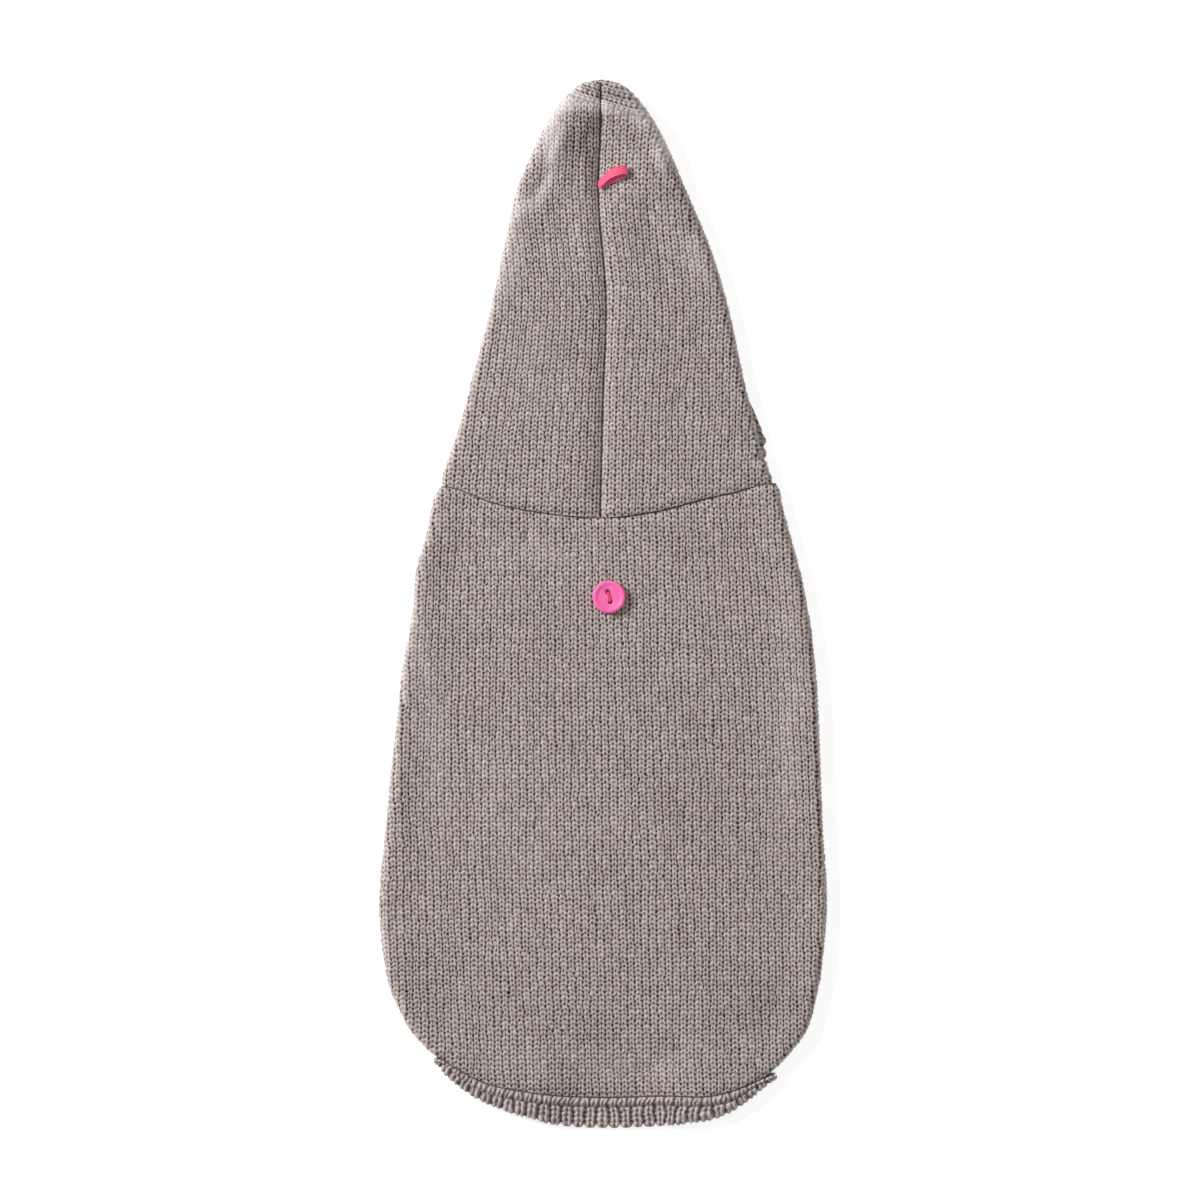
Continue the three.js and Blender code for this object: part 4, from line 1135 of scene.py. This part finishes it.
def hem_band_back():
    """Ribs below a raised row of purl stitches, rolled under towards both corners."""
    per_rib = 16
    x = hem_stations(per_rib)
    ridge_steps, rib_steps = 12, 34
    place = np.arange(len(x)) / per_rib
    x = x[:, None] + np.zeros(ridge_steps + rib_steps + 1)
    step = np.arange(ridge_steps + rib_steps + 1) + 0 * x
    ridge_here = RIDGE_SHOWN * mix(RIDGE_AT_CORNER, 1, smooth(3.2, 9, table(HEM_LINE, 2, x)))
    in_ribs = mix(ridge_here, BAND_WIDTH, (step - ridge_steps) / rib_steps)
    level = np.where(step <= ridge_steps, ridge_here * step / ridge_steps, in_ribs)
    rib_place = place[:, None] + 0.5 + 0 * x
    rib_place = rib_place + 0.06 * soft_noise(7, x.shape, (per_rib, 12))
    from_middle = np.abs(rib_place - np.round(rib_place))
    y = table(HEM_LINE, 1, x)
    rise = table(HEM_LINE, 1, x + 1) - table(HEM_LINE, 1, x - 1)
    length = np.hypot(rise, 2)
    out_x, out_y = rise / length, -2 / length
    reach = table(HEM_LINE, 2, x)
    rolled = smooth(FLAT_UNTIL, ROLLED_FROM, np.abs(x - body.spine(y)))
    corner = 1 - smooth(0, CORNER_LENGTH, np.minimum(x - BAND_LEFT, BAND_RIGHT - x))
    rib_height_here = RIB_HEIGHT * smooth(3, CORNER_REACH, reach)
    turn = np.maximum(reach - ROLL_RADIUS - WALL / 2 - rib_height_here, 0.2)
    past = mix(3.4, CORNER_ROOM, corner)
    room = mix(BAND_WIDTH, np.minimum(BAND_WIDTH, turn + np.pi * ROLL_RADIUS + past), rolled)
    notch = NOTCH_DEPTH * np.clip((from_middle - 0.28) / 0.22, 0, 1) ** 1.5
    shorten = (notch + LOBE_ROUND * (2 * from_middle) ** 2) * (level / BAND_WIDTH) ** 3
    down = HEM_CLEARANCE + CORNER_GAP * corner + (level - shorten) * (room / BAND_WIDTH)
    start = body.relief(x, y, table(BODY_ROWS, 4, y))
    out, height, tilt = band_section(start, turn, rolled, down)
    middle = np.stack([x + out_x * out, y + out_y * out, height], axis=-1)
    normal = np.stack([out_x * np.sin(tilt), out_y * np.sin(tilt), np.cos(tilt)], axis=-1)

    course = level / RIB_COURSE
    lump = place[:, None] * RIB_PITCH / RIDGE_BUMP + 0.1 * soft_noise(5, x.shape, (9, 8))
    ridge_share = np.clip(level / ridge_here, 0, 1)
    lump = lump + RIDGE_SLANT * ridge_share
    in_ridge = 1 - smooth(ridge_here - 0.3, ridge_here + 0.3, level)
    ridge = RIDGE_BULGE * np.sin(np.pi * ridge_share) * (ridge_here / RIDGE)
    ridge = ridge + RIDGE_SWING * rib_height(lump, ridge_share) * np.sin(np.pi * ridge_share)
    up = np.maximum(rib_height_here / RIB_HEIGHT, 0.8)
    ribs_up = RIB_MIDDLE * mix(1, -1, corner) + RIB_SWING * rib_height(rib_place, course) * up
    raised = ridge * in_ridge + ribs_up * (1 - in_ridge)
    raised -= GROOVE_DEPTH * np.exp(-(((level - ridge_here) / GROOVE_WIDTH) ** 2))
    raised -= BAND_TUCK * (1 - smooth(0, BAND_TUCK_WIDTH, level))
    to_end = np.clip((level - (BAND_WIDTH - END_ROUND)) / END_ROUND, 0, 1)
    raised -= 0.8 * WALL * (1 - np.sqrt(np.maximum(1 - to_end**2, 0))) * (1 - rolled)
    facing = smooth(-0.9, -0.2, normal[..., 2])
    outer = middle + normal * (WALL / 2 + raised * facing)[..., None]
    outer[..., 2] = np.maximum(outer[..., 2], 0)
    inner = middle - normal * (WALL / 2)
    uv = np.stack([rib_place, course], axis=-1)
    ridge_uv = np.stack([lump, ridge_share], axis=-1)
    piece = wall_mesh(
        "rib_hem_back", outer, inner, uv, rib, other_uv=ridge_uv, other_where=step <= ridge_steps,
    )
    return piece, length_of(x[:, 0], y[:, 0])


hem_back, hem_back_length = hem_band_back()
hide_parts("hem_band_back")


def hem_band_belly():
    """Rib band of the belly, flat on the underside with its ribs down."""
    clear = 13.0
    ribs, per_rib = 25, 10
    place = np.linspace(0, ribs, ribs * per_rib + 1)
    levels = np.linspace(0, BAND_WIDTH, 25)
    x = mix(ARCH_LEFT[0] + clear, ARCH_RIGHT[0] - clear, place / ribs)[:, None] + 0 * levels
    rise = arch_height(x + 1) - arch_height(x - 1)
    length = np.hypot(rise, 2)
    level = levels[None, :] + 0 * x
    down = HEM_CLEARANCE + level
    foot_x = x + rise / length * down
    foot_y = arch_height(x) - 2 / length * down
    rib_place = place[:, None] + 0.5 + 0 * x
    deep = 0.4 * (1.26 - rib_height(rib_place, level / 2.05))
    outer = np.stack([foot_x, foot_y, deep], axis=-1)
    inner = np.stack([foot_x, foot_y, np.full_like(x, WALL)], axis=-1)
    uv = np.stack([rib_place, level / 2.05], axis=-1)
    piece = wall_mesh("rib_hem_belly", outer, inner, uv, rib)
    return piece, length_of(foot_x[:, 12], foot_y[:, 12])


hem_belly, hem_belly_length = hem_band_belly()
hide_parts("hem_band_belly")


def face_band():
    """Rib band round the face opening, flat under the hood."""
    ribs, per_rib = 60, 8
    angle = np.linspace(0, TAU, 2001)
    grow = face_band_width(angle)
    x = FACE_X + (FACE_ACROSS - FACE_WIDTH + grow) * np.cos(angle) * (1 - FACE_TAPER * np.sin(angle))
    y = FACE_Y + (FACE_ALONG - FACE_WIDTH + grow) * np.sin(angle)
    run = np.append(0, np.cumsum(np.hypot(np.diff(x), np.diff(y))))
    place = np.arange(ribs * per_rib) / per_rib
    angle = np.interp(run[-1] * place / ribs, run, angle)[:, None]
    share = np.linspace(0, 1, 15)[None, :]
    grow = share * face_band_width(angle)
    x = FACE_X + (FACE_ACROSS - FACE_WIDTH + grow) * np.cos(angle) * (1 - FACE_TAPER * np.sin(angle))
    y = FACE_Y + (FACE_ALONG - FACE_WIDTH + grow) * np.sin(angle)
    edge = smooth(0, 0.1, share) * (1 - smooth(0.9, 1, share))
    rib_place = place[:, None] + 0 * x
    deep = 0.25 * (1.26 - rib_height(rib_place, share * FACE_WIDTH / RIB_COURSE)) + (1 - edge) * 0.3
    outer = np.stack([x, y, deep], axis=-1)
    inner = np.stack([x, y, FACE_THICK - deep], axis=-1)
    uv = np.stack([rib_place, share * FACE_WIDTH / RIB_COURSE + 0 * x], axis=-1)
    piece = wall_mesh("rib_face", outer, inner, uv, rib, ring=True)
    return piece, length_of(x[:, 7], y[:, 7])


face_rib, face_length = face_band()
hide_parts("face_band")


def top_of(tube, x, y):
    """Height of the cloth's top face."""
    side = np.where(x < tube.spine(y), -1.0, 1.0)
    return tube.middle(side, np.abs(x - tube.spine(y)), y)[..., 2] + WALL / 2


def loop_band():
    """The ribbon goes out from the seam, turns over at its far end and comes back on top."""
    steps, across_steps = 120, 24
    at = np.linspace(0, LOOP_ROWS[-1, 0], steps + 1)
    over = table(LOOP_ROWS, 5, at)
    edges = []
    for column in (1, 3):
        x, y = table(LOOP_ROWS, column, at), table(LOOP_ROWS, column + 1, at)
        edges.append(np.stack([x, y, top_of(hood, x, y) + over], axis=1))
    low, high = edges
    here = (low + high) / 2
    heading = np.gradient(here, axis=0)
    face = np.cross(heading, high - low)
    face /= np.linalg.norm(face, axis=1, keepdims=True)
    share = np.linspace(0, 1, across_steps + 1)
    spot = low[:, None, :] + (high - low)[:, None, :] * share[None, :, None]
    width = np.linalg.norm(high - low, axis=1).mean()
    cords = 0.05 * np.cos(TAU * share * width * 1.25)
    edge = 1 - 0.5 * smooth(0.42, 0.5, np.abs(share - 0.5))
    thick = (RIBBON_THICK / 2 - 0.05 + cords) * edge
    outer = spot + face[:, None, :] * thick[None, :, None]
    inner = spot - face[:, None, :] * thick[None, :, None]
    length = np.append(0, np.cumsum(np.linalg.norm(np.diff(here, axis=0), axis=1)))
    uv = np.stack(np.meshgrid(length, share * width, indexing="ij"), axis=-1)
    return wall_mesh("ribbon_loop", outer, inner, uv, ribbon)


loop = loop_band()
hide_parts("loop")


def apply_modifiers(piece):
    bpy.context.view_layer.update()
    shaped = piece.evaluated_get(bpy.context.evaluated_depsgraph_get())
    mesh = bpy.data.meshes.new_from_object(shaped)
    piece.modifiers.clear()
    piece.data = mesh


def lathe(name, profile, segments, material):
    """A closed solid of revolution from a profile of radius and height that ends on the axis."""
    profile = np.array(profile)
    angle = np.linspace(0, TAU, segments, endpoint=False)
    rings = profile[1:-1]
    points = np.stack([
        rings[None, :, 0] * np.cos(angle)[:, None],
        rings[None, :, 0] * np.sin(angle)[:, None],
        rings[None, :, 1] + 0 * angle[:, None],
    ], axis=-1)
    faces = grid_faces(segments, len(rings) - 1, True)
    count = len(rings)
    bottom, top = segments * count, segments * count + 1
    here = np.arange(segments)
    after = (here + 1) % segments
    low = np.stack([np.full(segments, bottom), after * count, here * count], axis=1)
    high = np.stack([np.full(segments, top), here * count + count - 1, after * count + count - 1], axis=1)
    ends = np.array([[0, 0, profile[0, 1]], [0, 0, profile[-1, 1]]])
    everything = np.concatenate([faces, low, high])
    all_points = np.concatenate([points.reshape(-1, 3), ends])
    return make_mesh(name, all_points, everything, all_points[:, :2], material)


# Rounding of the button's upper edge and of its lower one
BUTTON_ROUND, BUTTON_UNDER = 0.75, 0.8


def button_piece():
    """Turned button with a dish and two holes drilled along a line that leans."""
    low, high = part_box("button")
    base = low[2] / MM
    thick = BUTTON_THICK
    bend = np.linspace(0, np.pi / 2, 7)
    foot = BUTTON_RADIUS - BUTTON_UNDER
    profile = [(0, 0), (foot, 0)]
    profile += [(foot + BUTTON_UNDER * np.sin(a), BUTTON_UNDER * (1 - np.cos(a))) for a in bend[1:]]
    edge = BUTTON_RADIUS - BUTTON_ROUND
    profile += [
        (edge + BUTTON_ROUND * np.cos(a), thick - BUTTON_ROUND + BUTTON_ROUND * np.sin(a)) for a in bend
    ]
    dip = np.linspace(0, 1, 9)[1:]
    inner_rim = BUTTON_RADIUS - BUTTON_RIM
    profile += [(inner_rim - 1.3 * s, thick - BUTTON_DISH * smooth(0, 1, s)) for s in dip]
    profile += [(2.4, thick - BUTTON_DISH), (0, thick - BUTTON_DISH)]
    piece = lathe("gloss_button", profile, 96, plastic)
    turn = np.radians(HOLE_TURN)
    cutters = []
    for end in (-1, 1):
        reach = end * HOLE_SPREAD / 2
        drill = [(0, -2), (HOLE_RADIUS, -2), (HOLE_RADIUS, thick - BUTTON_DISH - 0.25)]
        drill += [(HOLE_RADIUS + 0.22, thick - BUTTON_DISH + 0.02), (HOLE_RADIUS + 0.22, 5), (0, 5)]
        cutter = lathe(f"drill_{end}", drill, 40, plastic)
        cutter.data.transform(Matrix.Translation((reach * np.sin(turn) * MM, -reach * np.cos(turn) * MM, 0)))
        modifier = piece.modifiers.new("hole", "BOOLEAN")
        modifier.operation = "DIFFERENCE"
        modifier.solver = "EXACT"
        modifier.object = cutter
        cutters.append(cutter)
    apply_modifiers(piece)
    for cutter in cutters:
        bpy.data.objects.remove(cutter)
    piece.data.transform(Matrix.Translation((BUTTON_X * MM, BUTTON_Y * MM, base * MM)))
    return piece, base


button, button_base = button_piece()
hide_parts("button")


def tube_mesh(name, path, radius, material, sides=10):
    """A closed round tube along a path of points."""
    path = np.asarray(path, float)
    heading = np.gradient(path, axis=0)
    heading /= np.linalg.norm(heading, axis=1, keepdims=True)
    first = np.cross(heading, np.cross(heading[0], [0, 0, 1]) + [0.01, 0.02, 0.03])
    first /= np.linalg.norm(first, axis=1, keepdims=True)
    second = np.cross(heading, first)
    angle = np.linspace(0, TAU, sides, endpoint=False)
    ring = np.cos(angle)[:, None, None] * first + np.sin(angle)[:, None, None] * second
    points = path[None, :, :] + np.reshape(radius, (1, -1, 1)) * ring
    faces = grid_faces(sides, len(path) - 1, True)
    count = len(path)
    here = np.arange(sides)
    after = (here + 1) % sides
    low = np.stack([np.full(sides, sides * count), here * count, after * count], axis=1)
    last = count - 1
    top = np.full(sides, sides * count + 1)
    high = np.stack([top, after * count + last, here * count + last], axis=1)
    everything = np.concatenate([faces[:, ::-1], low, high])
    all_points = np.concatenate([points.reshape(-1, 3), path[[0, -1]]])
    uv = np.repeat(np.arange(len(all_points))[:, None] * 0.1, 2, axis=1)
    return make_mesh(name, all_points, everything, uv, material)


STRAND_OFFSETS = (-0.42, -0.14, 0.14, 0.42)
THREAD_RADIUS, THREAD_SWELL = 0.17, 0.13


def button_threads():
    """Four strands that cross between the button's holes and go down through them."""
    turn = np.radians(HOLE_TURN)
    along = np.array([-np.sin(turn), np.cos(turn), 0])
    beside = np.array([np.cos(turn), np.sin(turn), 0])
    top = button_base + BUTTON_THICK - BUTTON_DISH
    pieces = []
    for k, offset in enumerate(STRAND_OFFSETS):
        share = np.linspace(-1, 1, 33)
        flat = np.clip(np.abs(share) / 0.8, 0, 1)
        reach = HOLE_SPREAD / 2 * np.sign(share) * np.where(flat < 1, flat, 1)
        depth = np.where(np.abs(share) > 0.8, (np.abs(share) - 0.8) * 10, 0)
        lift = 0.14 + 0.08 * (1 - flat**2) - depth
        sideways = offset * (1 - 0.35 * flat**4)
        path = np.array([BUTTON_X, BUTTON_Y, 0]) + reach[:, None] * along + sideways[:, None] * beside
        path[:, 2] = top + lift
        thick = THREAD_RADIUS + THREAD_SWELL * smooth(0.72, 0.86, np.abs(share))
        pieces.append(tube_mesh(f"button_thread_{k + 1}", path, thick, thread))
    return pieces


threads = button_threads()


# Seam yarn: step of its path, radius in the hood, neck and hem, and depth below the tucked cloth
YARN_STEP = 0.5
HOOD_YARN, NECK_YARN, HEM_YARN = 0.46, 0.52, 0.5
HOOD_YARN_DEPTH, YARN_DEPTH = 0.2, 0.15


def beaded(count, pitch, size, swell, seed):
    """Uneven thickness along a seam's yarn, one bead a stitch."""
    place = np.arange(count) * pitch
    uneven = soft_noise(seed, (count, 1), (12, 1))[:, 0]
    return size * (1 + swell * np.cos(TAU * place) + 0.12 * uneven)


def hood_seam_yarn():
    """Yarn that draws the two halves of the hood together, low in the seam's valley."""
    y = np.arange(TIP_Y - 1.2, 35.8, -YARN_STEP)
    x = hood.spine(y)
    z = hood.middle(np.ones_like(y), 0 * y, y)[:, 2] + sum_of_forms(HOOD_CREASES, x, y)
    size = beaded(len(y), YARN_STEP / COURSE, HOOD_YARN, 0.25, 71)
    z = z + WALL / 2 - TUCK_DEPTH - HOOD_YARN_DEPTH - size
    x = x + 0.14 * np.sin(TAU * y / (2 * COURSE))
    return tube_mesh("seam_yarn_hood", np.stack([x, y, z], axis=1), size, seam_yarn)


def neck_seam_yarn():
    """Yarn of the neck seam on the top side, from fold to fold."""
    spots = []
    for side in (-1.0, 1.0):
        run = np.arange(0.3, 72.5, YARN_STEP)
        sides = np.full_like(run, side)
        y = np.full_like(run, THROAT)
        for _ in range(6):
            place = body.place(sides, run, y)
            middle = body.middle(sides, run, y)
            y = neck_height(sides, place, middle[:, 0])
        above = hood.middle(sides, run, y)
        spot = np.stack([middle[:, 0], y, (middle[:, 2] + above[:, 2]) / 2], axis=1)
        spot = spot[place < 1.3]
        spots.append(spot[::-1] if side < 0 else spot)
    path = np.concatenate(spots)
    size = beaded(len(path), YARN_STEP / 2.93, NECK_YARN, 0.3, 73)
    path[:, 2] += WALL / 2 - TUCK_DEPTH - YARN_DEPTH - size
    path[:, 1] += 0.12 * np.sin(TAU * np.arange(len(path)) * YARN_STEP / 5.86)
    return tube_mesh("seam_yarn_neck", path, size, seam_yarn)


def hem_seam_yarn():
    """Yarn between the back and its rib band, from corner to corner."""
    x = np.arange(BAND_LEFT + 1.5, BAND_RIGHT - 1.5, YARN_STEP)
    y = table(HEM_LINE, 1, x) + HEM_CLEARANCE / 2
    z = body.relief(x, y, table(BODY_ROWS, 4, y)) + WALL / 2 - TUCK_DEPTH
    size = beaded(len(x), YARN_STEP / 2.9, HEM_YARN, 0.25, 79)
    path = np.stack([x, y, z - YARN_DEPTH - size], axis=1)
    return tube_mesh("seam_yarn_hem", path, size, seam_yarn)


seam_yarns = [hood_seam_yarn(), neck_seam_yarn(), hem_seam_yarn()]


def add_camera():
    """Straight down, as far off and as long a lens as makes the view almost parallel."""
    data = bpy.data.cameras.new("camera")
    camera = bpy.data.objects.new("camera", data)
    bpy.context.collection.objects.link(camera)
    away, view = 3.0, 0.492
    data.sensor_width = 36.0
    data.lens = data.sensor_width * away / view
    data.clip_end = 20.0
    camera.location = (-1.23 * MM, 1.23 * MM, away + 0.006)
    bpy.context.scene.camera = camera


def add_area(name, place, size, power):
    """Soft light that faces the middle of the garment: place and size in metres, power in watts."""
    data = bpy.data.lights.new(name, "AREA")
    data.shape = "RECTANGLE"
    data.size, data.size_y = size
    data.energy = power
    light = bpy.data.objects.new(name, data)
    light.location = place
    aim = -Vector(place)
    light.rotation_euler = aim.to_track_quat("-Z", "Y").to_euler()
    bpy.context.collection.objects.link(light)


def add_floor():
    """Pale floor, lit a little from within so that it stays white."""
    n = Nodes("pale floor")
    spot = n.add("ShaderNodeTexCoord").outputs["Object"]
    colour = n.ramp(n.noise(spot, 3.0, 2.0), [
        (0.3, (0.9, 0.9, 0.9, 1)), (0.7, (0.92, 0.92, 0.92, 1)),
    ])
    material = n.finish(
        Base_Color=colour, Roughness=0.9, Emission_Color=(1.0, 1.0, 1.0, 1.0), Emission_Strength=0.6,
    )
    size = 3.0
    mesh = bpy.data.meshes.new("floor")
    corners = [(-size, -size, 0), (size, -size, 0), (size, size, 0), (-size, size, 0)]
    mesh.from_pydata([(x, y, -0.0002) for x, y, _ in corners], [], [(0, 1, 2, 3)])
    mesh.materials.append(material)
    floor = bpy.data.objects.new("floor", mesh)
    bpy.context.collection.objects.link(floor)


add_camera()
add_floor()
LIGHTS = {
    "key": ((-1.7, 0.9, 1.15), (0.7, 0.7), 58.0),
    "fill": ((1.8, 0.1, 1.3), (1.3, 1.5), 4.0),
    "top": ((0.1, 0.6, 2.4), (1.2, 1.2), 5.0),
}
for name, (place, size, power) in LIGHTS.items():
    add_area(name, place, size, power)
bpy.context.scene.view_settings.view_transform = "Standard"
world = bpy.data.worlds.new("studio")
bpy.context.scene.world = world
world.use_nodes = True
world.node_tree.nodes["Background"].inputs[0].default_value = (1.0, 1.0, 1.0, 1.0)
world.node_tree.nodes["Background"].inputs[1].default_value = 0.27

for piece in [back, belly, *hoods, hem_back, hem_belly, face_rib, loop, button, *threads, *seam_yarns]:
    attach(piece, "root")


def lay(piece, size, area):
    """Turns a piece of cloth's flat cut from millimetres into metres, and does nothing more with it."""
    flat = tuple(float(side) * MM for side in size)


lay(back, back_size, back_area)
lay(belly, belly_size, belly_area)
for half, (half_size, half_area) in zip(hoods, hood_cuts):
    lay(half, half_size, half_area)
for band, size in (
    (hem_back, (hem_back_length, BAND_WIDTH)),
    (hem_belly, (hem_belly_length, BAND_WIDTH)),
    (face_rib, (face_length, FACE_WIDTH)),
):
    lay(band, size, size[0] * size[1])
